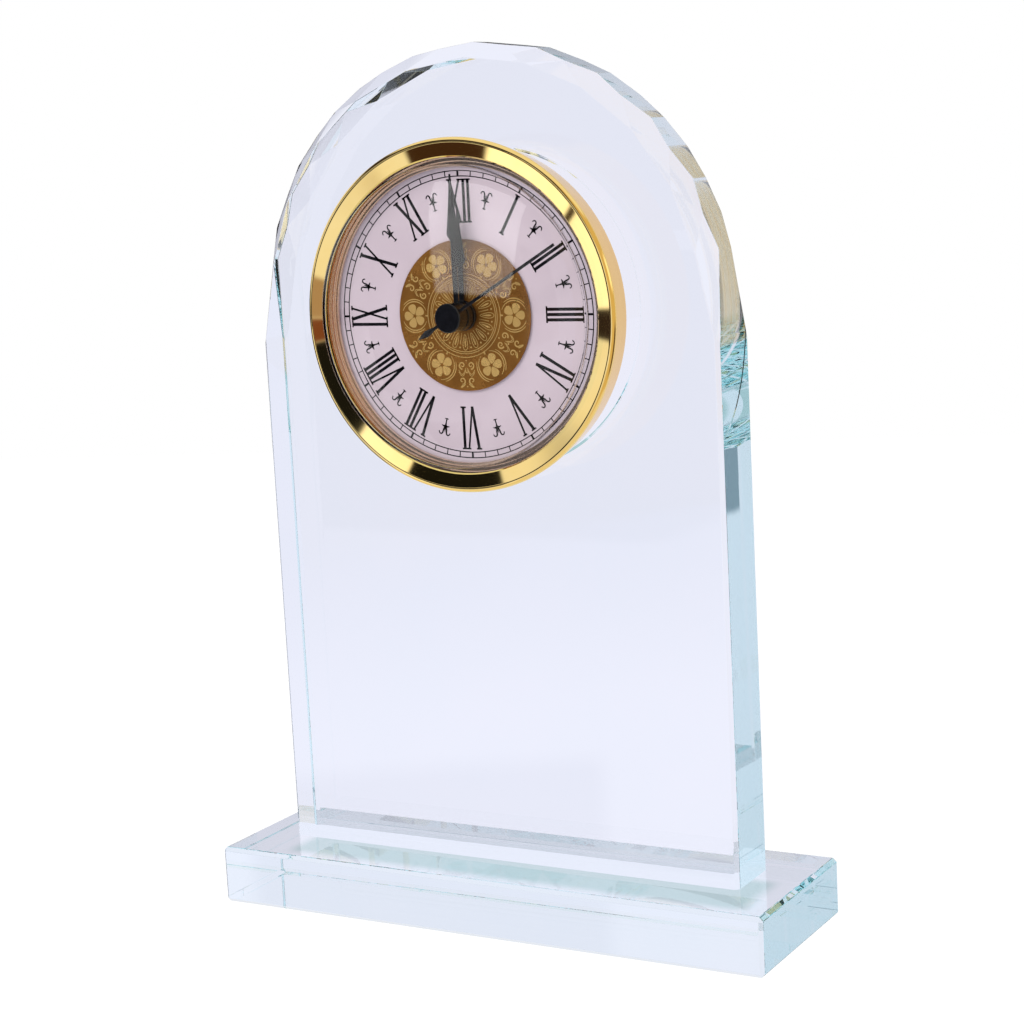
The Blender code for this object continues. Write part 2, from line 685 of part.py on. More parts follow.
def make_cover(pivots):
    """The movement's rear cover: a shallow can with bearings, cell window and knob hole."""
    rim = PLATE_BACK + FIT
    inner = COVER_RADIUS - COVER_WALL
    profile = [(0.0, COVER_FLOOR), (inner, COVER_FLOOR), (inner, rim), (COVER_RADIUS, rim)]
    profile += [(COVER_RADIUS, COVER_BACK - COVER_BEVEL), (COVER_RADIUS - COVER_BEVEL, COVER_BACK)]
    profile += [(0.0, COVER_BACK)]
    cover = turned("movement_cover", profile, HIDDEN_RING_STEPS)
    inside = (COVER_FLOOR + COVER_BACK) / 2
    arbors = [pivots[name] for name in ("centre", "third", "intermediate", "rotor")]
    tools = [rod(BEARING_RADIUS, COVER_FLOOR - BEARING_HEIGHT, inside, centre) for centre in arbors]
    for centre in STATOR_FEET:
        tools.append(rod(PILLAR_RADIUS, STATOR_LEVEL + STATOR_THICKNESS + FIT, inside, centre))
    join(cover, *tools)
    holes = [rod(ARBOR_RADIUS + FIT, COVER_FLOOR - OVERSHOOT, COVER_FLOOR, centre) for centre in arbors]
    holes.append(rod(CELL_RADIUS + FIT, COVER_FLOOR - OVERSHOOT, COVER_BACK + OVERSHOOT, CELL_PLACE,
                     HUB_STEPS))
    holes.append(rod(KNOB_SHAFT_RADIUS + FIT, COVER_FLOOR - OVERSHOOT, COVER_BACK + OVERSHOOT,
                     pivots["knob"]))
    return cut(cover, *holes)


def make_bridge(pivots):
    """The thin train bridge between the centre wheel and the third wheel."""
    points = []
    for centre in BRIDGE_PILLARS + (pivots["third"], pivots["rotor"]):
        points += circle(BRIDGE_MARGIN, centre)
    hull = convex_hull_2d([Vector(point) for point in points])
    bridge = prism("train_bridge", [points[index] for index in hull], BRIDGE_FRONT, BRIDGE_BACK)
    start = BRIDGE_FRONT - OVERSHOOT
    end = BRIDGE_BACK + OVERSHOOT
    holes = [rod(BRIDGE_THIRD_HOLE, start, end, pivots["third"])]
    for name in ("centre", "intermediate", "rotor"):
        holes.append(rod(ARBOR_RADIUS + FIT, start, end, pivots[name]))
    return cut(bridge, *holes)


def make_case_screw(index):
    """A slotted screw that holds a boss of the movement plate to the case's web."""
    head_front = CASE_WEB_DEPTH + CASE_WEB + CLOSE_FIT
    head_back = head_front + SCREW_HEAD
    profile = [(0.0, SCREW_TIP + FIT), (SCREW_RADIUS, SCREW_TIP + FIT), (SCREW_RADIUS, head_front)]
    profile += [(SCREW_HEAD_RADIUS, head_front), (SCREW_HEAD_RADIUS, head_back - SCREW_HEAD_BEVEL)]
    profile += [(SCREW_HEAD_RADIUS - SCREW_HEAD_BEVEL, head_back), (0.0, head_back)]
    screw = turned("case_screw_%d" % (index + 1), profile, ROD_STEPS)
    half = SCREW_SLOT_WIDTH / 2
    reach = SCREW_HEAD_RADIUS + OVERSHOOT
    slot = [(-reach, -half), (reach, -half), (reach, half), (-reach, half)]
    return cut(screw, prism("slot", slot, head_back - SCREW_SLOT_DEPTH, head_back + OVERSHOOT))


def make_wheel(name, wheel, pinion, arbor):
    """A wheel and its pinion on one arbor.

    The wheel is (teeth, module, phase, front), the pinion (leaves, module, phase, front,
    back) and the arbor (front, back).
    """
    teeth, module, phase, front = wheel
    body = gear(name, teeth, module, phase, front, front + WHEEL_THICKNESS)
    join(body, gear("leaves", *pinion))
    return join(body, rod(ARBOR_RADIUS, arbor[0], arbor[1]))


def make_rotor():
    """The rotor: a magnet and its pinion on one arbor."""
    magnet = rod(MAGNET_RADIUS, MAGNET_LEVEL, MAGNET_LEVEL + MAGNET_LENGTH, steps=HUB_STEPS)
    magnet.name = "rotor"
    join(magnet, gear("leaves", ROTOR_LEAVES, ROTOR_MODULE, ROTOR_ANGLE + 180.0,
                      INTERMEDIATE_LEVEL - PINION_OVERLAP, MAGNET_LEVEL + CLOSE_FIT))
    return join(magnet, rod(ARBOR_RADIUS, BRIDGE_FRONT, ARBOR_BACK))


def make_intermediate_wheel():
    """The wheel that slows the rotor down to the seconds wheel."""
    toward_rotor = ROTOR_ANGLE
    wheel = (INTERMEDIATE_TEETH, ROTOR_MODULE, facing_gap(INTERMEDIATE_TEETH, toward_rotor),
             INTERMEDIATE_LEVEL)
    pinion = (INTERMEDIATE_LEAVES, TRAIN_MODULE, ROTOR_ANGLE + 180.0,
              SECONDS_LEVEL - PINION_OVERLAP, INTERMEDIATE_LEVEL + CLOSE_FIT)
    return make_wheel("intermediate_wheel", wheel, pinion, (BRIDGE_FRONT, ARBOR_BACK))


def make_seconds_wheel():
    """The wheel whose long arbor runs through the centre to the seconds hand."""
    wheel = (SECONDS_TEETH, TRAIN_MODULE, facing_gap(SECONDS_TEETH, ROTOR_ANGLE), SECONDS_LEVEL)
    pinion = (SECONDS_LEAVES, TRAIN_MODULE, THIRD_ANGLE, THIRD_LEVEL - PINION_OVERLAP,
              SECONDS_LEVEL + CLOSE_FIT)
    return make_wheel("seconds_wheel", wheel, pinion, (SECONDS_BLADE + CLOSE_FIT, ARBOR_BACK))


def centre_module():
    """The module that fits the centre wheel to the third wheel's pinion."""
    return (THIRD_TEETH + SECONDS_LEAVES) * TRAIN_MODULE / (CENTRE_TEETH + THIRD_LEAVES)


def make_third_wheel():
    """The wheel between the seconds wheel and the centre wheel."""
    toward_centre = THIRD_ANGLE + 180.0
    wheel = (THIRD_TEETH, TRAIN_MODULE, facing_gap(THIRD_TEETH, toward_centre), THIRD_LEVEL)
    pinion = (THIRD_LEAVES, centre_module(), toward_centre, CENTRE_LEVEL - PINION_OVERLAP,
              THIRD_LEVEL + CLOSE_FIT)
    return make_wheel("third_wheel", wheel, pinion, (PLATE_BACK + CLOSE_FIT, ARBOR_BACK))


def make_centre_wheel():
    """The wheel that turns once an hour behind the cannon pinion."""
    back = CENTRE_LEVEL + WHEEL_THICKNESS
    wheel = gear("centre_wheel", CENTRE_TEETH, centre_module(), facing_gap(CENTRE_TEETH, THIRD_ANGLE),
                 CENTRE_LEVEL, back)
    return cut(wheel, rod(CANNON_RADIUS + FIT, CENTRE_LEVEL - OVERSHOOT, back + OVERSHOOT,
                          steps=HUB_STEPS))


def make_cannon_pinion():
    """The tube that carries the minute hand, with the pinion of the motion work."""
    front = MINUTE_BLADE - HUB_RELIEF - FIT
    back = CENTRE_LEVEL + WHEEL_THICKNESS
    cannon = gear("cannon_pinion", CANNON_TEETH, TRAIN_MODULE, MINUTE_ANGLE,
                  MINUTE_LEVEL - PINION_OVERLAP, MINUTE_LEVEL + WHEEL_THICKNESS + PINION_OVERLAP)
    join(cannon, rod(CANNON_RADIUS, front, back, steps=HUB_STEPS))
    return cut(cannon, rod(CANNON_BORE, front - OVERSHOOT, back + OVERSHOOT, steps=HUB_STEPS))


def make_minute_wheel():
    """The wheel and pinion that slow the cannon pinion down to the hour wheel."""
    front = HOUR_LEVEL - CLOSE_FIT
    back = MINUTE_LEVEL + WHEEL_THICKNESS
    wheel = gear("minute_wheel", MINUTE_WHEEL_TEETH, TRAIN_MODULE, minute_wheel_phase(), MINUTE_LEVEL, back)
    join(wheel, gear("leaves", MINUTE_LEAVES, TRAIN_MODULE, MINUTE_ANGLE + 180.0, front,
                     MINUTE_LEVEL + CLOSE_FIT))
    return cut(wheel, rod(ARBOR_RADIUS + CLOSE_FIT, front - OVERSHOOT, back + OVERSHOOT))


def minute_wheel_phase():
    """The phase of the minute wheel, a gap towards the cannon pinion."""
    return facing_gap(MINUTE_WHEEL_TEETH, MINUTE_ANGLE + 180.0)


def make_hour_wheel():
    """The wheel on the tube that carries the hour hand."""
    front = HOUR_BLADE - HUB_RELIEF - FIT
    back = HOUR_LEVEL + WHEEL_THICKNESS
    wheel = gear("hour_wheel", HOUR_TEETH, TRAIN_MODULE, facing_gap(HOUR_TEETH, MINUTE_ANGLE),
                 HOUR_LEVEL, back)
    join(wheel, rod(HOUR_TUBE_RADIUS, front, HOUR_LEVEL + CLOSE_FIT, steps=HUB_STEPS))
    return cut(wheel, rod(HOUR_TUBE_BORE, front - OVERSHOOT, back + OVERSHOOT, steps=HUB_STEPS))


def make_knob(pivots):
    """The setting knob behind the cover, its shaft and the pinion on the minute wheel."""
    front = COVER_BACK + LEVEL_GAP
    outline = []
    for index in range(KNOB_FLUTES * 2):
        radius = KNOB_RADIUS - KNOB_FLUTE_DEPTH * (index % 2)
        outline.append(clock_point(radius, 180 * index / KNOB_FLUTES))
    knob = prism("setting_knob", outline, front, front + KNOB_HEIGHT)
    join(knob, rod(KNOB_SHAFT_RADIUS, PLATE_BACK + FIT, front + OVERSHOOT))
    wheel_pitch = 360.0 / MINUTE_WHEEL_TEETH
    tooth_ahead = (minute_wheel_phase() - MINUTE_ANGLE) % wheel_pitch
    phase = facing_gap(KNOB_LEAVES, MINUTE_ANGLE + 180.0)
    phase -= tooth_ahead * MINUTE_WHEEL_TEETH / KNOB_LEAVES
    return join(knob, gear("leaves", KNOB_LEAVES, TRAIN_MODULE, phase, MINUTE_LEVEL - PINION_OVERLAP,
                           MINUTE_LEVEL + WHEEL_THICKNESS + PINION_OVERLAP))


def make_stator(pivots):
    """The stator: a lamination with an eye round the rotor and two legs to the coil."""
    rotor = pivots["rotor"]
    front = STATOR_LEVEL
    back = STATOR_LEVEL + STATOR_THICKNESS
    eye = MAGNET_RADIUS + MAGNET_AIR_GAP
    stator = rod(eye + STATOR_RING, front, back, rotor, HUB_STEPS)
    stator.name = "stator"
    for foot in STATOR_FEET:
        join(stator, prism("leg", capsule(rotor, foot, STATOR_ARM), front, back))
    return cut(stator, rod(eye, front - OVERSHOOT, back + OVERSHOOT, rotor, HUB_STEPS))


def make_coil_core():
    """The bar that closes the stator through the coil."""
    back = STATOR_LEVEL - FIT
    return prism("coil_core", capsule(*STATOR_FEET, CORE_WIDTH / 2), back - STATOR_THICKNESS, back)


def make_coil():
    """The wound bobbin on the core."""
    back = STATOR_LEVEL - FIT
    front = back - STATOR_THICKNESS
    height = STATOR_FEET[0][1]
    middle = (STATOR_FEET[0][0] + STATOR_FEET[1][0]) / 2
    half = COIL_LENGTH / 2
    waist = half - COIL_FLANGE
    profile = [(0.0, -half), (COIL_FLANGE_RADIUS, -half), (COIL_FLANGE_RADIUS, -waist)]
    profile += [(COIL_WINDING_RADIUS, -waist), (COIL_WINDING_RADIUS, waist)]
    profile += [(COIL_FLANGE_RADIUS, waist), (COIL_FLANGE_RADIUS, half), (0.0, half)]
    coil = turned("coil", profile, ROD_STEPS)
    lay_along_x(coil, (middle, (front + back) / 2, height))
    reach = half + OVERSHOOT
    rise = CORE_WIDTH / 2 + FIT
    hole = [(middle - reach, height - rise), (middle + reach, height - rise),
            (middle + reach, height + rise), (middle - reach, height + rise)]
    return cut(coil, prism("hole", hole, front - FIT, back + FIT))


def make_cell():
    """The button cell, its crimped front end narrower than its can."""
    back = COVER_FLOOR - CELL_RECESS
    front = back - CELL_HEIGHT
    narrow = CELL_RADIUS - CELL_STEP
    profile = [(0.0, front), (narrow, front), (narrow, front + CELL_STEP / 2)]
    profile += [(CELL_RADIUS, front + CELL_STEP), (CELL_RADIUS, back), (0.0, back)]
    return turned("button_cell", profile, HUB_STEPS)


def make_contact_leaf():
    """The leaf that presses on the cell's front end."""
    back = COVER_FLOOR - CELL_RECESS - CELL_HEIGHT - FIT
    outline = capsule(CELL_PLACE, LEAF_END, LEAF_HALF_WIDTH)
    return prism("contact_leaf", outline, back - CONTACT_THICKNESS, back)


def make_contact_spring():
    """The curved spring that touches the side of the cell."""
    inner = CELL_RADIUS + FIT
    outer = inner + CONTACT_THICKNESS
    there = range(SPRING_START_ANGLE, SPRING_END_ANGLE + 1, SPRING_STEP_ANGLE)
    outline = [add_points(CELL_PLACE, clock_point(inner, angle)) for angle in there]
    outline += [add_points(CELL_PLACE, clock_point(outer, angle)) for angle in reversed(there)]
    return prism("contact_spring", outline, COVER_FLOOR - CELL_HEIGHT, COVER_FLOOR - FIT)


def make_board():
    """The circuit board and the moulded blob over its chip."""
    back = BOARD_FRONT + BOARD_THICKNESS
    side = [(BOARD_HALF_WIDTH, BOARD_BOTTOM), (BOARD_HALF_WIDTH - BOARD_TAPER, BOARD_TOP)]
    board = prism("circuit_board", mirrored(side), BOARD_FRONT, back)
    blob = turned("blob", [(0.0, back - CLOSE_FIT), (CHIP_RADIUS, back - CLOSE_FIT),
                           (CHIP_RADIUS - CLOSE_FIT, back + CHIP_HEIGHT / 2),
                           (CHIP_RADIUS / 2, back + CHIP_HEIGHT), (0.0, back + CHIP_HEIGHT)], ROD_STEPS)
    blob.location = (CHIP_PLACE[0], 0.0, CHIP_PLACE[1])
    return join(board, blob)


def make_quartz_can():
    """The can of the quartz crystal, lying behind the board."""
    profile = [(0.0, -CAN_LENGTH / 2), (CAN_RADIUS, -CAN_LENGTH / 2)]
    profile += [(CAN_RADIUS, CAN_LENGTH / 2 - CAN_BEVEL), (CAN_RADIUS - CAN_BEVEL, CAN_LENGTH / 2)]
    profile += [(0.0, CAN_LENGTH / 2)]
    can = turned("quartz_can", profile, ROD_STEPS)
    lay_along_x(can, (0.0, BOARD_FRONT + BOARD_THICKNESS + FIT + CAN_RADIUS, CAN_HEIGHT))
    return can


def leaf_outline(length, neck, belly, belly_width):
    """A leaf hand: a straight stem, a swelling with a sharp shoulder and a long taper."""
    stem = HAND_STEM_WIDTH / 2
    widest = belly_width / 2
    tip = HAND_TIP_WIDTH / 2
    shoulder = (stem + 2 * widest) / 3
    slim = (widest + 2 * tip) / 3
    side = [(stem, 0.0), (stem, neck), (shoulder, (2 * neck + belly) / 3), (widest, belly)]
    side += [(slim, (belly + length) / 2), (tip, length)]
    return mirrored(side)


def make_hand(name, outline, blade_front, hub, hole_radius):
    """A flat hand on a tall round hub. The hub is (radius, front, back)."""
    hand = prism(name, outline, blade_front, blade_front + HAND_THICKNESS)
    join(hand, rod(*hub, steps=HUB_STEPS))
    return cut(hand, rod(hole_radius, hub[1] - OVERSHOOT, hub[2] + OVERSHOOT, steps=HUB_STEPS))


def make_hour_hand():
    """The hour hand, next to the dial."""
    outline = leaf_outline(HOUR_HAND_LENGTH, HOUR_HAND_NECK, HOUR_HAND_BELLY, HOUR_HAND_BELLY_WIDTH)
    hub = (HOUR_HUB_RADIUS, HOUR_BLADE - HUB_RELIEF, CENTRE_DISC_FRONT - FIT)
    return make_hand("hour_hand", outline, HOUR_BLADE, hub, HOUR_TUBE_RADIUS + CLOSE_FIT)


def make_minute_hand():
    """The minute hand, its hub reaching down to the hour hand's."""
    outline = leaf_outline(MINUTE_HAND_LENGTH, MINUTE_HAND_NECK, MINUTE_HAND_BELLY,
                           MINUTE_HAND_BELLY_WIDTH)
    hub = (MINUTE_HUB_RADIUS, MINUTE_BLADE - HUB_RELIEF, HOUR_BLADE - HUB_RELIEF - 2 * FIT)
    return make_hand("minute_hand", outline, MINUTE_BLADE, hub, CANNON_RADIUS + CLOSE_FIT)


def make_seconds_hand():
    """The seconds hand: needle, lozenge tail and a closed cap over the end of its arbor."""
    half = SECONDS_HAND_WIDTH / 2
    side = [(0.0, -SECONDS_TAIL_LENGTH), (SECONDS_TAIL_WIDTH / 2, -SECONDS_TAIL_WIDEST)]
    side += [(half, -SECONDS_TAIL_NECK), (half, SECONDS_HAND_LENGTH)]
    hand = prism("seconds_hand", mirrored(side), SECONDS_BLADE, SECONDS_BLADE + HAND_THICKNESS)
    front = SECONDS_BLADE - SECONDS_CAP_RELIEF
    back = MINUTE_BLADE - HUB_RELIEF - 2 * FIT
    radius = SECONDS_CAP_RADIUS
    cap = [(0.0, back), (radius, back), (radius, front + SECONDS_CAP_BEVEL)]
    cap += [(radius - SECONDS_CAP_BEVEL, front), (0.0, front)]
    join(hand, turned("cap", cap, HUB_STEPS))
    return cut(hand, rod(ARBOR_RADIUS + CLOSE_FIT, SECONDS_BLADE, back + OVERSHOOT))


def main():
    """Build the clock."""
    for thing in list(bpy.data.objects):
        bpy.data.objects.remove(thing, do_unlink=True)

    glass = material("crystal_glass", (0.86, 0.92, 0.95), 0.02, transmission=1.0)
    lens_glass = material("lens_glass", (0.95, 0.96, 0.97), 0.02, transmission=1.0)
    gilt = material("gilt_brass", (0.83, 0.58, 0.20), 0.12, 1.0)
    lacquer = material("dial_lacquer", (0.80, 0.74, 0.79), 0.35)
    gilt_print = material("gilt_print", (0.62, 0.40, 0.13), 0.35, 0.7)
    cream = material("reflector_cream", (0.62, 0.46, 0.34), 0.30, 0.3)
    black = material("hand_black", (0.015, 0.015, 0.018), 0.35)
    moulding = material("case_plastic", (0.03, 0.03, 0.032), 0.45)
    acetal = material("wheel_plastic", (0.80, 0.78, 0.70), 0.45)
    rubber = material("gasket_rubber", (0.05, 0.05, 0.05), 0.75)
    steel = material("plated_steel", (0.60, 0.60, 0.62), 0.25, 1.0)
    brass = material("wheel_brass", (0.72, 0.56, 0.26), 0.3, 1.0)
    copper = material("coil_wire", (0.55, 0.20, 0.09), 0.4, 0.6)
    laminate = material("board_laminate", (0.04, 0.19, 0.09), 0.5)

    stand = group("stand")
    insert = group("insert")
    dress(make_base(), glass, stand, CUT_GLASS_ANGLE)
    dress(make_slab(), glass, stand, CUT_GLASS_ANGLE)

    place(make_bezel(), gilt, insert)
    place(make_lens(), lens_glass, insert)
    place(make_reflector_ring(), cream, insert)
    place(make_dial(), lacquer, insert)
    place(make_centre_disc(), gilt_print, insert)
    place(make_case(), moulding, insert)
    place(make_gasket(), rubber, insert)

    pivots = pivot_places()
    place(make_movement_plate(pivots), moulding, insert)
    place(make_cover(pivots), moulding, insert)
    place(make_bridge(pivots), brass, insert)
    for index, angle in enumerate(CASE_SCREW_ANGLES):
        place(make_case_screw(index), steel, insert, clock_point(CASE_SCREW_CIRCLE, angle))
    place(make_stator(pivots), steel, insert)
    place(make_coil_core(), steel, insert)
    place(make_coil(), copper, insert)
    place(make_contact_leaf(), steel, insert)
    place(make_contact_spring(), steel, insert)
    place(make_board(), laminate, insert)
    place(make_quartz_can(), steel, insert)
    place(make_cell(), steel, group("cell", insert), CELL_PLACE)

    place(make_rotor(), steel, group("rotor", insert), pivots["rotor"])
    place(make_intermediate_wheel(), acetal, group("intermediate", insert), pivots["intermediate"])
    place(make_third_wheel(), acetal, group("third", insert), pivots["third"])
    place(make_centre_wheel(), brass, group("centre", insert))
    place(make_minute_wheel(), acetal, group("minute_wheel", insert), pivots["minute"])
    place(make_knob(pivots), acetal, group("knob", insert), pivots["knob"])

    hours = group("hours", insert)
    minutes = group("minutes", insert)
    seconds = group("seconds", insert)
    place(make_hour_wheel(), brass, hours)
    place(make_cannon_pinion(), brass, minutes)
    place(make_seconds_wheel(), acetal, seconds)
    place(make_hour_hand(), black, hours, rotation=HOUR_HAND_ANGLE)
    place(make_minute_hand(), black, minutes, rotation=MINUTE_HAND_ANGLE)
    place(make_seconds_hand(), black, seconds, rotation=SECONDS_HAND_ANGLE)


if __name__ == "__main__":
    main()
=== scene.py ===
"""The crystal desk clock as it is seen: glass, gilding, print, hands and the studio round it.

Sizes are millimetres here and become metres where a mesh is made. A clock part is drawn in
clock coordinates (x, depth, z): depth runs back from the slab's front face and the clock's
axis passes through the origin. A stand part is drawn in the object's own coordinates.
"""

import json
import logging
import math
from dataclasses import dataclass, field
from enum import Enum

import bmesh
import bpy
import numpy as np
from bpy.types import Material, Mesh, Node, NodeSocket, NodeTree, Object
from mathutils import Matrix, Vector

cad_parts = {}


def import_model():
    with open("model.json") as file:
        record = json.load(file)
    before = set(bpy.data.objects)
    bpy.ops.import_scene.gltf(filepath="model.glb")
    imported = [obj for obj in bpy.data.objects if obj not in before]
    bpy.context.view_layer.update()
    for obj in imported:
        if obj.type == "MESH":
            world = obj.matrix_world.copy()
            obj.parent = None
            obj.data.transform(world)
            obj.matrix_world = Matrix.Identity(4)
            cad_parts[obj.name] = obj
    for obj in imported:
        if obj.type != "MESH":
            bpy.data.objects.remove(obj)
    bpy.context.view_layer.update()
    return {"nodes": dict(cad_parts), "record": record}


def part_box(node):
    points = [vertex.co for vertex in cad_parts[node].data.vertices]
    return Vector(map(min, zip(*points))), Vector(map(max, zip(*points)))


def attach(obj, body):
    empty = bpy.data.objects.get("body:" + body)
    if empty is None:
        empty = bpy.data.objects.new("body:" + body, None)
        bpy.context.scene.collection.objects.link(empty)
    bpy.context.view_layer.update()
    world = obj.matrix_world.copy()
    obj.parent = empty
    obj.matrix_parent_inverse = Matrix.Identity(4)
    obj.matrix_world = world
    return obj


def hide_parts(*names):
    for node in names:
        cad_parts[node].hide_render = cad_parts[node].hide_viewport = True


LOG = logging.getLogger("crystal_clock")
MM = 0.001
SLAB_FRONT = -8.2
AXIS_HEIGHT = 159.8
GILT_DISC_FRONT = -5.8
PRINT_FRONT = -5.235
PRINT_BACK = -5.19
SCREW_ANGLES = (0.0, 120.0, 240.0)
SCREW_CIRCLE = 31.5
CELL_PLACE = (13.0, -10.4)
KNOB_PLACE = (0.0, -11.7)
TURN_STEPS = 192
FINE_TURN_STEPS = 288
Colour = tuple[float, float, float]
Place = tuple[float, float, float]
Pair = tuple[float, float]
Plane = tuple[Vector, Vector]
Fed = NodeSocket | Colour | float | None


class Slot(Enum):
    """The record's material slots."""

    CRYSTAL = "crystal_glass"
    LENS = "lens_glass"
    GILT = "gilt_brass"
    REFLECTOR = "reflector_cream"
    DIAL = "dial_lacquer"
    GILT_PRINT = "gilt_print"
    HAND = "hand_black"
    CASE = "case_plastic"
    WHEEL_PLASTIC = "wheel_plastic"
    GASKET = "gasket_rubber"
    STEEL = "plated_steel"
    WHEEL_BRASS = "wheel_brass"
    COIL = "coil_wire"
    BOARD = "board_laminate"


class Letter(Enum):
    """The letters of the dial's numerals."""

    ONE = "I"
    FIVE = "V"
    TEN = "X"


# Meshes


def clock_to_world(points: np.ndarray) -> np.ndarray:
    """Move points (x, depth, z) from clock coordinates to the object's own, in millimetres."""
    return points + np.array([0.0, SLAB_FRONT, AXIS_HEIGHT])


@dataclass
class Shell:
    """Vertices in millimetres with faces of three or four corners, ready to become a piece."""

    points: np.ndarray
    quads: np.ndarray = field(default_factory=lambda: np.zeros((0, 4), int))
    triangles: np.ndarray = field(default_factory=lambda: np.zeros((0, 3), int))

    @staticmethod
    def joined(shells: list["Shell"]) -> "Shell":
        """Put several shells into one, each one's faces renumbered by the vertices before it."""
        starts = np.cumsum([0] + [len(shell.points) for shell in shells[:-1]])
        return Shell(
            np.concatenate([shell.points for shell in shells]),
            np.concatenate([shell.quads + start for shell, start in zip(shells, starts)]),
            np.concatenate([shell.triangles + start for shell, start in zip(shells, starts)]),
        )

    def piece(self, name: str, sharp_angle: float = 35.0, clock: bool = True) -> Object:
        """Make the piece, its faces turned outwards.

        Args:
            name: the piece's name.
            sharp_angle: the angle in degrees past which an edge is shaded sharp.
            clock: whether the points are in clock coordinates.

        Returns:
            The new object, linked to the scene.
        """
        points = clock_to_world(self.points) if clock else self.points
        mesh = bpy.data.meshes.new(name)
        corners = np.concatenate([self.quads.ravel(), self.triangles.ravel()]).astype(np.int32)
        sizes = np.concatenate([np.full(len(self.quads), 4), np.full(len(self.triangles), 3)])
        mesh.vertices.add(len(points))
        mesh.vertices.foreach_set("co", (points * MM).astype(np.float32).ravel())
        mesh.loops.add(len(corners))
        mesh.loops.foreach_set("vertex_index", corners)
        mesh.polygons.add(len(sizes))
        mesh.polygons.foreach_set("loop_start", (np.cumsum(sizes) - sizes).astype(np.int32))
        mesh.update(calc_edges=True)
        mesh.validate()
        made = placed(name, mesh)
        finish_mesh(made, sharp_angle)
        return made


def placed(name: str, mesh: Mesh) -> Object:
    """Link a mesh to the scene as a new object.

    Args:
        name: the object's name.
        mesh: its mesh.

    Returns:
        The object.
    """
    made = bpy.data.objects.new(name, mesh)
    bpy.context.scene.collection.objects.link(made)
    return made


def worked(name: str, work: bmesh.types.BMesh) -> Object:
    """Turn a mesh in the making into an object, and free it.

    Args:
        name: the object's name.
        work: the mesh in the making.

    Returns:
        The object.
    """
    mesh = bpy.data.meshes.new(name)
    work.to_mesh(mesh)
    work.free()
    return placed(name, mesh)


def break_edges(work: bmesh.types.BMesh, edges: list[bmesh.types.BMEdge], width: float,
                segments: int = 2) -> None:
    """Bevel edges of a mesh in the making by a width, in so many segments."""
    bmesh.ops.bevel(work, geom=edges, offset=width, offset_type="OFFSET", segments=segments,
                    profile=0.5, affect="EDGES", clamp_overlap=True)


def finish_mesh(piece: Object, sharp_angle: float) -> None:
    """Turn a closed mesh's faces outwards and set its shading.

    Args:
        piece: the object.
        sharp_angle: the angle in degrees past which an edge is shaded sharp.
    """
    work = bmesh.new()
    work.from_mesh(piece.data)
    bmesh.ops.recalc_face_normals(work, faces=work.faces)
    work.to_mesh(piece.data)
    work.free()
    piece.data.shade_smooth()
    piece.data.set_sharp_from_angle(angle=math.radians(sharp_angle))


def turned(profile: np.ndarray, steps: int = TURN_STEPS, centre: Pair = (0.0, 0.0)) -> Shell:
    """Turn a profile about the clock's axis or a parallel one.

    A point is (radius sin t, depth, radius cos t), with t one of the even angles of a full
    turn. A profile that starts and ends at radius 0 is closed by fans, any other by itself.

    Args:
        profile: an array (n, 2) of radius and depth.
        steps: the points of each circle.
        centre: the axis as (x, z).

    Returns:
        The closed shell.
    """
    profile = np.asarray(profile, float)
    solid = profile[0, 0] < 1e-9 and profile[-1, 0] < 1e-9
    rings = profile[1:-1] if solid else profile
    angle = np.linspace(0.0, 2.0 * math.pi, steps, endpoint=False)
    points = np.stack([rings[:, None, 0] * np.sin(angle) + centre[0],
                       np.broadcast_to(rings[:, None, 1], (len(rings), steps)),
                       rings[:, None, 0] * np.cos(angle) + centre[1]], axis=-1).reshape(-1, 3)
    rows = np.arange(len(rings) - 1 if solid else len(rings))
    after = (rows + 1) % len(rings)
    column = np.arange(steps)
    beside = (column + 1) % steps
    quads = np.stack([rows[:, None] * steps + column, rows[:, None] * steps + beside,
                      after[:, None] * steps + beside, after[:, None] * steps + column], axis=-1)
    triangles = np.zeros((0, 3), int)
    if solid:
        poles = np.array([[centre[0], profile[0, 1], centre[1]], [centre[0], profile[-1, 1], centre[1]]])
        first, last = len(points), len(points) + 1
        end = (len(rings) - 1) * steps
        points = np.concatenate([points, poles])
        opening = np.stack([np.full(steps, first), beside, column], axis=-1)
        closing = np.stack([np.full(steps, last), end + column, end + beside], axis=-1)
        triangles = np.concatenate([opening, closing])
    return Shell(points, quads.reshape(-1, 4), triangles)


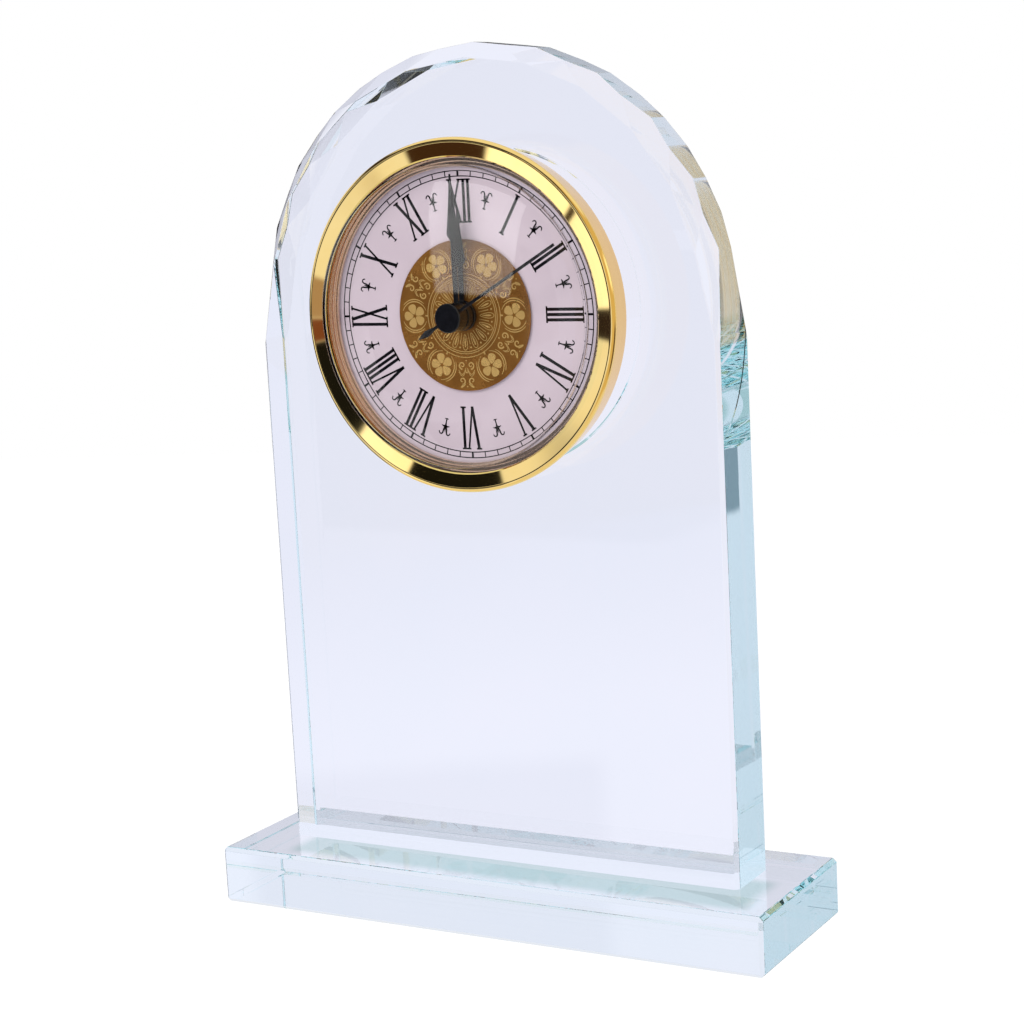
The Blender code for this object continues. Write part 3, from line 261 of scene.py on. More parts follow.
def rounded(corners: list[Place], steps: int = 4, closed: bool = True) -> np.ndarray:
    """Round the corners of a profile with circular arcs.

    The arc of a corner starts and ends at radius / tan(half its angle) from it. A point just
    beyond each end holds the flats flat under smooth shading.

    Args:
        corners: (radius, depth, rounding) for each corner, all in millimetres.
        steps: the parts of each arc.
        closed: whether the last corner joins the first, and the ends are rounded too.

    Returns:
        An array (n, 2) of radius and depth.
    """
    places = np.array([corner[:2] for corner in corners], float)
    count = len(places)
    made: list[np.ndarray] = []
    for index, (_, _, rounding) in enumerate(corners):
        corner = places[index]
        if rounding <= 0.0 or (not closed and index in (0, count - 1)):
            made.append(corner[None, :])
            continue
        back = places[index - 1] - corner
        ahead = places[(index + 1) % count] - corner
        back_length, ahead_length = np.linalg.norm(back), np.linalg.norm(ahead)
        back, ahead = back / back_length, ahead / ahead_length
        half = math.acos(float(np.clip(back @ ahead, -1.0, 1.0))) / 2.0
        reach = min(rounding / math.tan(half), 0.45 * back_length, 0.45 * ahead_length)
        radius = reach * math.tan(half)
        middle = corner + (back + ahead) / np.linalg.norm(back + ahead) * radius / math.sin(half)
        start, end = corner + back * reach - middle, corner + ahead * reach - middle
        share = np.linspace(0.0, 1.0, steps + 1)[:, None]
        spread = math.pi - 2.0 * half
        bent = (np.sin((1.0 - share) * spread) * start + np.sin(share * spread) * end) / math.sin(spread)
        held = 1.25 * reach
        made += [corner[None, :] + back * held, middle + bent, corner[None, :] + ahead * held]
    return np.concatenate(made)


def plate(outline: np.ndarray, front: float, back: float) -> Shell:
    """A flat plate from an outline that its own middle can see all of.

    Both faces are fans about the mean of the outline, and the edge is a strip of quads.

    Args:
        outline: an array (n, 2) of x and z.
        front: the depth of its front.
        back: the depth of its back.

    Returns:
        The closed shell.
    """
    count = len(outline)
    middle = outline.mean(axis=0)
    flat = np.concatenate([outline, middle[None, :]])
    faces = [np.stack([flat[:, 0], np.full(count + 1, depth), flat[:, 1]], axis=-1)
             for depth in (front, back)]
    here = np.arange(count)
    after = (here + 1) % count
    triangles = np.concatenate([np.stack([here, after, np.full(count, count)], axis=-1),
                                np.stack([after, here, np.full(count, count)], axis=-1) + count + 1])
    quads = np.stack([after, here, here + count + 1, after + count + 1], axis=-1)
    return Shell(np.concatenate(faces), quads, triangles)


def ribbon(path: np.ndarray, widths: np.ndarray | float, front: float, back: float) -> Shell:
    """A flat stroke along a path.

    Each point of the path goes half its width to both sides, square to the path's direction
    there, which is the difference of its neighbours.

    Args:
        path: an array (n, 2) of x and z.
        widths: the stroke's width, or one for each point.
        front: the depth of its front.
        back: the depth of its back.

    Returns:
        The closed shell.
    """
    direction = np.gradient(path, axis=0)
    direction /= np.linalg.norm(direction, axis=1)[:, None]
    half = np.broadcast_to(widths, len(path))[:, None] / 2
    side = np.stack([direction[:, 1], -direction[:, 0]], axis=-1) * half
    flat = np.stack([path + side, path - side], axis=1).reshape(-1, 2)
    count = len(flat)
    points = np.concatenate([np.stack([flat[:, 0], np.full(count, depth), flat[:, 1]], axis=-1)
                             for depth in (front, back)])
    step = np.arange(0, count - 2, 2)
    top = np.stack([step, step + 1, step + 3, step + 2], axis=-1)
    rim = np.concatenate([np.arange(0, count, 2), np.arange(count - 1, 0, -2)])
    after = np.roll(rim, -1)
    return Shell(points, np.concatenate([top, top[:, ::-1] + count,
                                         np.stack([after, rim, rim + count, after + count], axis=-1)]))


def on_dial(points: np.ndarray, angle: float, radius: float) -> np.ndarray:
    """Place a drawing on the dial, its up direction pointing away from the middle.

    A point goes to (u cos a + (r + v) sin a, -u sin a + (r + v) cos a).

    Args:
        points: an array (n, 2) of u to the right and v upwards.
        angle: the dial angle in degrees, clockwise from twelve.
        radius: the distance of v = 0 from the middle.

    Returns:
        An array (n, 2) of x and z.
    """
    turn = math.radians(angle)
    across, out = points[:, 0], points[:, 1] + radius
    return np.stack([across * math.cos(turn) + out * math.sin(turn),
                     -across * math.sin(turn) + out * math.cos(turn)], axis=-1)


def printed(path: np.ndarray, widths: np.ndarray | float) -> Shell:
    """A printed stroke on the dial plate."""
    return ribbon(path, widths, PRINT_FRONT, PRINT_BACK)


def ring_line(radius: float, width: float, front: float, back: float,
              steps: int = FINE_TURN_STEPS) -> Shell:
    """A flat ring of one width about a radius, between two depths: its section is a rectangle."""
    inner, outer = radius - width / 2.0, radius + width / 2.0
    return turned(np.array([(outer, back), (outer, front), (inner, front), (inner, back)]), steps)


def raised_ring(inner: float, outer: float, foot: float, crest: float, rounding: float,
                steps: int = TURN_STEPS, centre: Pair = (0.0, 0.0)) -> Shell:
    """A ring with a rounded crest, standing on a face that looks back, about one axis."""
    return turned(rounded([(outer, foot, 0.0), (outer, crest, rounding), (inner, crest, rounding),
                           (inner, foot, 0.0)]), steps, centre)


def screw_place(angle: float) -> Pair:
    """The axis of the case screw at a dial angle, as (x, z)."""
    return tuple(on_dial(np.array([(0.0, 0.0)]), angle, SCREW_CIRCLE)[0])


def drill(radius: float, start: float, end: float, steps: int,
          centre: Pair = (0.0, 0.0)) -> Object:
    """A plain rod along the clock's axis, between two depths, to cut a hole with."""
    profile = np.array([(0.0, start), (radius, start), (radius, end), (0.0, end)])
    return turned(profile, steps, centre).piece("drill")


def combine(target: Object, tools: list[Object], operation: str = "DIFFERENCE",
            sharp_angle: float = 30.0) -> None:
    """Cut tools from a piece or join them to it, and delete them.

    Args:
        target: the piece that is changed.
        tools: the pieces that are used up.
        operation: DIFFERENCE or UNION.
        sharp_angle: the angle in degrees past which an edge is shaded sharp.
    """
    for tool in tools:
        modifier = target.modifiers.new("cut", "BOOLEAN")
        modifier.operation = operation
        modifier.solver = "EXACT"
        modifier.object = tool
    bpy.context.view_layer.update()
    graph = bpy.context.evaluated_depsgraph_get()
    mesh = bpy.data.meshes.new_from_object(target.evaluated_get(graph))
    target.modifiers.clear()
    target.data = mesh
    for tool in tools:
        bpy.data.objects.remove(tool, do_unlink=True)
    finish_mesh(target, sharp_angle)


# Node groups and finishes


def new_group(name: str, inputs: dict[str, float | Colour],
              outputs: tuple[str, ...]) -> tuple[NodeTree, Node, Node]:
    """Make an empty shader node group with its sockets.

    Args:
        name: the group's name.
        inputs: each input's name with its standing value, a number or a colour.
        outputs: the outputs' names; Colour is a colour, any other a number.

    Returns:
        The group, its input node and its output node.
    """
    group = bpy.data.node_groups.new(name, "ShaderNodeTree")
    for label, value in inputs.items():
        kind = "NodeSocketColor" if isinstance(value, tuple) else "NodeSocketFloat"
        socket = group.interface.new_socket(label, in_out="INPUT", socket_type=kind)
        socket.default_value = (*value, 1.0) if isinstance(value, tuple) else value
    for label in outputs:
        kind = "NodeSocketColor" if label == "Colour" else "NodeSocketFloat"
        group.interface.new_socket(label, in_out="OUTPUT", socket_type=kind)
    return group, group.nodes.new("NodeGroupInput"), group.nodes.new("NodeGroupOutput")


def add_node(tree: NodeTree, kind: str, settings: dict | None = None, values: dict | None = None,
             links: dict | None = None) -> Node:
    """Add a node, set it and link it.

    Args:
        tree: the node tree.
        kind: the node's type without its ShaderNode prefix.
        settings: attributes of the node.
        values: standing values of its inputs.
        links: the sockets that feed its inputs.

    Returns:
        The node.
    """
    node = tree.nodes.new("ShaderNode" + kind)
    for key, value in (settings or {}).items():
        setattr(node, key, value)
    for key, value in (values or {}).items():
        node.inputs[key].default_value = value
    for key, socket in (links or {}).items():
        tree.links.new(socket, node.inputs[key])
    return node


def feed(tree: NodeTree, socket: NodeSocket, value: Fed) -> None:
    """Link another socket to an input, or set a number or a colour on it.

    Args:
        tree: the node tree.
        socket: the input.
        value: what feeds it, or None to leave it as it is.
    """
    if isinstance(value, NodeSocket):
        tree.links.new(value, socket)
    elif value is not None:
        socket.default_value = (*value, 1.0) if isinstance(value, tuple) else value


def math_node(tree: NodeTree, operation: str, first: Fed, second: Fed = None,
              third: Fed = None) -> NodeSocket:
    """A Math node on numbers or sockets.

    Args:
        tree: the node tree.
        operation: the node's operation.
        first: its first value, a number or a socket.
        second: its second value.
        third: its third value.

    Returns:
        The node's output.
    """
    node = add_node(tree, "Math", {"operation": operation})
    for index, value in enumerate((first, second, third)):
        feed(tree, node.inputs[index], value)
    return node.outputs[0]


def mixed_colour(tree: NodeTree, factor: Fed, first: Fed, second: Fed) -> NodeSocket:
    """A Mix node on colours or sockets.

    Args:
        tree: the node tree.
        factor: the second colour's share, a number or a socket.
        first: the first colour, or a socket.
        second: the second colour, or a socket.

    Returns:
        The node's output.
    """
    node = add_node(tree, "Mix", {"data_type": "RGBA"})
    for index, value in ((0, factor), (6, first), (7, second)):
        feed(tree, node.inputs[index], value)
    return node.outputs[2]


class Effects:
    """The shader node groups that several finishes share."""

    def __init__(self) -> None:
        """Build the groups once."""
        self.tone = self._tone()
        self.handling = self._handling()
        self.grain = self._grain()
        self.lathe = self._lathe()
        self.relief = self._relief()
        self.zone = self._zone()

    def _tone(self) -> NodeTree:
        """Clouds of a second colour over a first: soft noise, its contrast raised.

        Returns:
            The group, which puts out Colour.
        """
        grey = (0.5, 0.5, 0.5)
        inputs = {"First": grey, "Second": grey, "Scale": 60.0}
        group, source, sink = new_group("tone", inputs, ("Colour",))
        place = add_node(group, "TexCoord").outputs["Object"]
        noise = add_node(group, "TexNoise", {}, {"Detail": 4.0, "Roughness": 0.6},
                         {"Vector": place, "Scale": source.outputs["Scale"]})
        cloud = add_node(group, "MapRange", {}, {"From Min": 0.35, "From Max": 0.65},
                         {"Value": noise.outputs["Fac"]})
        clouded = mixed_colour(group, cloud.outputs[0], source.outputs["First"], source.outputs["Second"])
        group.links.new(clouded, sink.inputs["Colour"])
        return group

    def _handling(self) -> NodeTree:
        """Faint smears of handling: stretched noise plus fine specks, as a roughness.

        Returns:
            The group, which puts out Roughness.
        """
        group, source, sink = new_group("handling", {"Base": 0.2, "Spread": 0.1, "Scale": 40.0},
                                        ("Roughness",))
        place = add_node(group, "TexCoord").outputs["Object"]
        stretch = add_node(group, "Mapping", {}, {"Scale": (1.0, 1.0, 2.6)}, {"Vector": place})
        smear = add_node(group, "TexNoise", {}, {"Detail": 5.0, "Roughness": 0.55, "Distortion": 0.6},
                         {"Vector": stretch.outputs[0], "Scale": source.outputs["Scale"]})
        fine = math_node(group, "MULTIPLY", source.outputs["Scale"], 22.0)
        speck = add_node(group, "TexNoise", {}, {"Detail": 2.0}, {"Vector": place, "Scale": fine})
        both = math_node(group, "MULTIPLY_ADD", speck.outputs["Fac"], 0.35, smear.outputs["Fac"])
        centred = math_node(group, "SUBTRACT", both, 0.675)
        rough = math_node(group, "MULTIPLY_ADD", centred, source.outputs["Spread"], source.outputs["Base"])
        group.links.new(rough, sink.inputs["Roughness"])
        return group

    def _grain(self) -> NodeTree:
        """The skin of a moulding: small cells over soft noise, as a height.

        Returns:
            The group, which puts out Height.
        """
        group, source, sink = new_group("grain", {"Scale": 900.0}, ("Height",))
        place = add_node(group, "TexCoord").outputs["Object"]
        links = {"Vector": place, "Scale": source.outputs["Scale"]}
        cells = add_node(group, "TexVoronoi", {}, {}, links)
        noise = add_node(group, "TexNoise", {}, {"Detail": 3.0}, links)
        both = math_node(group, "ADD", cells.outputs["Distance"], noise.outputs["Fac"])
        group.links.new(both, sink.inputs["Height"])
        return group

    def _lathe(self) -> NodeTree:
        """Fine turning marks: noise that changes only with the distance from the clock's axis.

        Returns:
            The group, which puts out Height.
        """
        group, source, sink = new_group("lathe", {"Lines": 4000.0}, ("Height",))
        place = add_node(group, "TexCoord").outputs["Object"]
        split = add_node(group, "SeparateXYZ", {}, {}, {"Vector": place})
        radius = self._axis_distance(group, split)
        noise = add_node(group, "TexNoise", {"noise_dimensions": "1D"}, {"Detail": 3.0, "Roughness": 0.7},
                         {"W": radius, "Scale": source.outputs["Lines"]})
        group.links.new(noise.outputs["Fac"], sink.inputs["Height"])
        return group

    def _axis_distance(self, group: NodeTree, split: Node) -> NodeSocket:
        """The distance from the clock's axis.

        Args:
            group: the group that the nodes go into.
            split: the node that gives the place's X, Y and Z.

        Returns:
            The socket with the distance in metres.
        """
        rise = math_node(group, "SUBTRACT", split.outputs["Z"], AXIS_HEIGHT * MM)
        squares = math_node(group, "ADD", math_node(group, "POWER", split.outputs["X"], 2.0),
                            math_node(group, "POWER", rise, 2.0))
        return math_node(group, "SQRT", squares)

    def _zone(self) -> NodeTree:
        """How far a place lies outside one radius of the clock, and behind one depth.

        Returns:
            The group, which puts out Outside and Behind.
        """
        inputs = {"Inner": 0.04, "Outer": 0.041, "Front": -0.02, "Back": -0.01}
        group, source, sink = new_group("zone", inputs, ("Outside", "Behind"))
        place = add_node(group, "TexCoord").outputs["Object"]
        split = add_node(group, "SeparateXYZ", {}, {}, {"Vector": place})
        radius = self._axis_distance(group, split)
        for value, low, high, name in ((radius, "Inner", "Outer", "Outside"),
                                       (split.outputs["Y"], "Front", "Back", "Behind")):
            step = add_node(group, "MapRange", {"interpolation_type": "SMOOTHSTEP"}, {},
                            {"Value": value, "From Min": source.outputs[low],
                             "From Max": source.outputs[high]})
            group.links.new(step.outputs[0], sink.inputs[name])
        return group

    def _relief(self) -> NodeTree:
        """Where the gilt disc's embossing stands above its ground, with worn edges.

        Returns:
            The group, which puts out Mask.
        """
        group, source, sink = new_group("relief", {"Wear": 0.25}, ("Mask",))
        place = add_node(group, "TexCoord").outputs["Object"]
        split = add_node(group, "SeparateXYZ", {}, {}, {"Vector": place})
        ground = (SLAB_FRONT + GILT_DISC_FRONT) * MM
        rise = add_node(group, "MapRange", {},
                        {"From Min": ground - 0.015 * MM, "From Max": ground - 0.035 * MM},
                        {"Value": split.outputs["Y"]})
        noise = add_node(group, "TexNoise", {}, {"Scale": 900.0, "Detail": 3.0}, {"Vector": place})
        worn = math_node(group, "MULTIPLY", noise.outputs["Fac"], source.outputs["Wear"])
        kept = math_node(group, "SUBTRACT", 1.0, worn)
        group.links.new(math_node(group, "MULTIPLY", rise.outputs[0], kept), sink.inputs["Mask"])
        return group


@dataclass(frozen=True)
class Finish:
    """A coated, moulded or metal surface with tone, handling marks and a grain or turning marks; raised
    print in a second colour, and on one flank a painted shade.
    """

    slot: Slot
    colour: Colour
    second: Colour
    roughness: float = 0.3
    spread: float = 0.1
    metallic: float = 0.0
    tone_scale: float = 60.0
    grain_scale: float = 900.0
    grain: float = 0.0
    lathe_lines: float = 0.0
    lathe: float = 0.0
    coat: float = 0.0
    coat_roughness: float = 0.05
    anisotropy: float = 0.0
    raised: Colour | None = None
    # A deeper colour painted on the flank beyond one radius and behind one depth: painted shade, not a
    # second finish.
    shaded_flank: Colour | None = None
    flank_radius: Pair = (42.0, 42.4)
    flank_depth: Pair = (-9.6, -9.0)
    bump_height: float = 0.02

    def material(self, effects: Effects) -> Material:
        """Build the material.

        Args:
            effects: the shared node groups.

        Returns:
            The material, named for its slot.
        """
        made = bpy.data.materials.new(self.slot.value)
        made.use_nodes = True
        tree = made.node_tree
        shader = tree.nodes["Principled BSDF"]
        shader.inputs["Metallic"].default_value = self.metallic
        shader.inputs["Coat Weight"].default_value = self.coat
        shader.inputs["Coat Roughness"].default_value = self.coat_roughness
        shader.inputs["Anisotropic"].default_value = self.anisotropy
        tone = add_node(tree, "Group", {"node_tree": effects.tone},
                        {"First": (*self.colour, 1.0), "Second": (*self.second, 1.0),
                         "Scale": self.tone_scale})
        colour = tone.outputs["Colour"]
        if self.raised is not None:
            relief = add_node(tree, "Group", {"node_tree": effects.relief})
            colour = mixed_colour(tree, relief.outputs["Mask"], colour, self.raised)
        # Painted shade: the flared side is mixed to the deeper flank colour by its place.
        if self.shaded_flank is not None:
            (inner, outer), (front, back) = self.flank_radius, self.flank_depth
            zone = add_node(tree, "Group", {"node_tree": effects.zone},
                            {"Inner": inner * MM, "Outer": outer * MM,
                             "Front": (SLAB_FRONT + front) * MM, "Back": (SLAB_FRONT + back) * MM})
            side = math_node(tree, "MULTIPLY", zone.outputs["Outside"], zone.outputs["Behind"])
            colour = mixed_colour(tree, side, colour, self.shaded_flank)
        tree.links.new(colour, shader.inputs["Base Color"])
        handling = add_node(tree, "Group", {"node_tree": effects.handling},
                            {"Base": self.roughness, "Spread": self.spread})
        tree.links.new(handling.outputs["Roughness"], shader.inputs["Roughness"])
        height = None
        if self.grain:
            height = add_node(tree, "Group", {"node_tree": effects.grain}, {"Scale": self.grain_scale})
            strength = self.grain
        elif self.lathe:
            height = add_node(tree, "Group", {"node_tree": effects.lathe}, {"Lines": self.lathe_lines})
            strength = self.lathe
        if height is not None:
            bump = add_node(tree, "Bump", {}, {"Strength": strength, "Distance": self.bump_height * MM},
                            {"Height": height.outputs["Height"]})
            tree.links.new(bump.outputs["Normal"], shader.inputs["Normal"])
        if self.anisotropy:
            tangent = add_node(tree, "Tangent", {"direction_type": "RADIAL", "axis": "Y"})
            tree.links.new(tangent.outputs[0], shader.inputs["Tangent"])
        made.diffuse_color = (*self.colour, 1.0)
        return made


@dataclass(frozen=True)
class GlassFinish:
    """Clear glass that lets light for the things behind it straight through."""

    slot: Slot
    colour: Colour
    second: Colour
    tone_scale: float = 25.0
    index: float = 1.52
    waviness: float = 0.0
    wave_scale: float = 90.0
    wave_height: float = 0.05
    absorbed: Colour | None = None
    density: float = 0.0
    specular: float = 1.0
    rim: float = 0.0
    rim_soft: float = 0.3
    single: bool = False
    clear: Colour = (0.97, 0.985, 0.99)

    def material(self, effects: Effects) -> Material:
        """Build the material.

        Args:
            effects: the shared node groups.

        Returns:
            The material, named for its slot.
        """
        made = bpy.data.materials.new(self.slot.value)
        made.use_nodes = True
        tree = made.node_tree
        shader = tree.nodes["Principled BSDF"]
        shader.inputs["IOR"].default_value = self.index
        shader.inputs["Transmission Weight"].default_value = 1.0
        shader.inputs["Specular Tint"].default_value = (self.specular, self.specular, self.specular, 1.0)
        shader.inputs["Roughness"].default_value = 0.0
        tone = add_node(tree, "Group", {"node_tree": effects.tone},
                        {"First": (*self.colour, 1.0), "Second": (*self.second, 1.0),
                         "Scale": self.tone_scale})
        tree.links.new(tone.outputs["Colour"], shader.inputs["Base Color"])
        if self.waviness:
            place = add_node(tree, "TexCoord").outputs["Object"]
            wave = add_node(tree, "TexNoise", {}, {"Scale": self.wave_scale, "Detail": 1.0},
                            {"Vector": place})
            bump = add_node(tree, "Bump", {},
                            {"Strength": self.waviness, "Distance": self.wave_height * MM},
                            {"Height": wave.outputs["Fac"]})
            tree.links.new(bump.outputs["Normal"], shader.inputs["Normal"])
        light = add_node(tree, "LightPath")
        passing = math_node(tree, "MAXIMUM", light.outputs["Is Shadow Ray"],
                            light.outputs["Is Diffuse Ray"])
        if self.single:
            inside = math_node(tree, "SUBTRACT", light.outputs["Is Glossy Ray"],
                               light.outputs["Is Transmission Ray"])
            passing = math_node(tree, "MAXIMUM", passing, inside)
        if self.rim:
            zone = add_node(tree, "Group", {"node_tree": effects.zone},
                            {"Inner": (self.rim - self.rim_soft) * MM,
                             "Outer": (self.rim + self.rim_soft) * MM})
            passing = math_node(tree, "MAXIMUM", passing, zone.outputs["Outside"])
        clear = add_node(tree, "BsdfTransparent", {}, {"Color": (*self.clear, 1.0)})
        body = shader.outputs[0]
        if self.single:
            shape = add_node(tree, "NewGeometry")
            bend = add_node(tree, "BsdfRefraction", {}, {"IOR": self.index, "Roughness": 0.0})
            sides = add_node(tree, "MixShader", {}, {},
                             {0: shape.outputs["Backfacing"], 1: body, 2: bend.outputs[0]})
            body = sides.outputs[0]
        mix = add_node(tree, "MixShader", {}, {}, {0: passing, 1: body, 2: clear.outputs[0]})
        output = tree.nodes["Material Output"]
        tree.links.new(mix.outputs[0], output.inputs["Surface"])
        if self.absorbed is not None:
            volume = add_node(tree, "VolumeAbsorption", {},
                              {"Color": (*self.absorbed, 1.0), "Density": self.density})
            tree.links.new(volume.outputs[0], output.inputs["Volume"])
        made.diffuse_color = (*self.colour, 0.4)
        return made


class Finishes:
    """Every finish of the clock, built once and handed out by slot."""

    def __init__(self) -> None:
        """Set the values of each finish and build its material."""
        effects = Effects()
        made = (
            GlassFinish(Slot.CRYSTAL, (0.985, 0.992, 1.0), (0.965, 0.985, 0.995), index=1.52,
                        waviness=0.015, absorbed=(0.20, 0.86, 0.89), density=1.8),
            GlassFinish(Slot.LENS, (0.99, 0.99, 1.0), (0.98, 0.985, 0.99), index=1.49, specular=0.6,
                        rim=37.9, single=True),
            # The gilt's flared side gets a deeper amber here: painted shade.
            Finish(Slot.GILT, (1.0, 0.77, 0.33), (0.98, 0.73, 0.28), roughness=0.03, spread=0.02,
                   metallic=1.0, tone_scale=80.0, lathe_lines=2500.0, lathe=0.01,
                   shaded_flank=(0.86, 0.50, 0.09)),
            Finish(Slot.REFLECTOR, (0.80, 0.60, 0.50), (0.74, 0.52, 0.42), roughness=0.15, spread=0.06,
                   metallic=0.85, tone_scale=80.0, lathe_lines=5000.0, lathe=0.10),
            Finish(Slot.DIAL, (0.67, 0.54, 0.57), (0.63, 0.505, 0.535), roughness=0.34, spread=0.08,
                   tone_scale=45.0, grain_scale=2600.0, grain=0.05, coat=0.25, coat_roughness=0.12),
            Finish(Slot.GILT_PRINT, (0.38, 0.16, 0.03), (0.28, 0.11, 0.018), roughness=0.26, spread=0.10,
                   metallic=0.6, tone_scale=160.0, lathe_lines=5200.0, lathe=0.18, anisotropy=0.6,
                   raised=(0.92, 0.58, 0.19)),
            Finish(Slot.HAND, (0.005, 0.005, 0.006), (0.008, 0.008, 0.010), roughness=0.12, spread=0.05,
                   tone_scale=300.0),
            Finish(Slot.CASE, (0.018, 0.018, 0.019), (0.026, 0.026, 0.028), roughness=0.42, spread=0.12,
                   tone_scale=300.0, grain_scale=2400.0, grain=0.35),
            Finish(Slot.WHEEL_PLASTIC, (0.78, 0.76, 0.68), (0.72, 0.70, 0.62), roughness=0.38, spread=0.10,
                   tone_scale=300.0, grain_scale=2600.0, grain=0.10),
            Finish(Slot.GASKET, (0.96, 0.78, 0.50), (0.92, 0.72, 0.43), roughness=0.55, spread=0.12,
                   tone_scale=200.0, grain_scale=3000.0, grain=0.02),
            Finish(Slot.STEEL, (0.62, 0.62, 0.64), (0.54, 0.54, 0.56), roughness=0.22, spread=0.12,
                   metallic=1.0, tone_scale=200.0, lathe_lines=4000.0, lathe=0.08),
            Finish(Slot.WHEEL_BRASS, (0.76, 0.56, 0.24), (0.68, 0.47, 0.18), roughness=0.26, spread=0.12,
                   metallic=1.0, tone_scale=260.0, lathe_lines=5000.0, lathe=0.12),
            Finish(Slot.COIL, (0.50, 0.17, 0.07), (0.62, 0.25, 0.10), roughness=0.30, spread=0.10,
                   metallic=0.8, tone_scale=500.0, grain_scale=5200.0, grain=0.5),
            Finish(Slot.BOARD, (0.03, 0.17, 0.08), (0.045, 0.22, 0.10), roughness=0.36, spread=0.10,
                   tone_scale=500.0, grain_scale=1800.0, grain=0.2, coat=0.3),
        )
        self.materials = {finish.slot: finish.material(effects) for finish in made}

    def dress(self, piece: Object, slot: Slot) -> None:
        """Give a piece one finish and name its slot.

        Args:
            piece: the piece.
            slot: the record's slot.
        """
        piece.data.materials.clear()
        piece.data.materials.append(self.materials[slot])

    def dress_node(self, node: Object, slot: Slot) -> None:
        """Give a CAD node that stays in sight its finish, in its own material slots."""
        for holder in node.material_slots:
            holder.material = self.materials[slot]


@dataclass
class Workshop:
    """Takes in finished pieces: finish, body, the nodes they stand for, and the log."""

    finishes: Finishes

    def take(self, piece: Object, slot: Slot, body: str, *replaced: str) -> Object:
        """Finish a piece and put it on its body.

        Args:
            piece: the piece, in its place.
            slot: the slot of its finish.
            body: the body that carries it.
            replaced: the CAD nodes that it stands for.

        Returns:
            The piece.
        """
        self.finishes.dress(piece, slot)
        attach(piece, body)
        if replaced:
            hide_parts(*replaced)
        LOG.info("%s rides on %s, %d faces", piece.name, body, len(piece.data.polygons))
        return piece


@dataclass
class SubAssembly:
    """A part of the clock that hands its finished pieces to the workshop."""

    shop: Workshop


# The stand


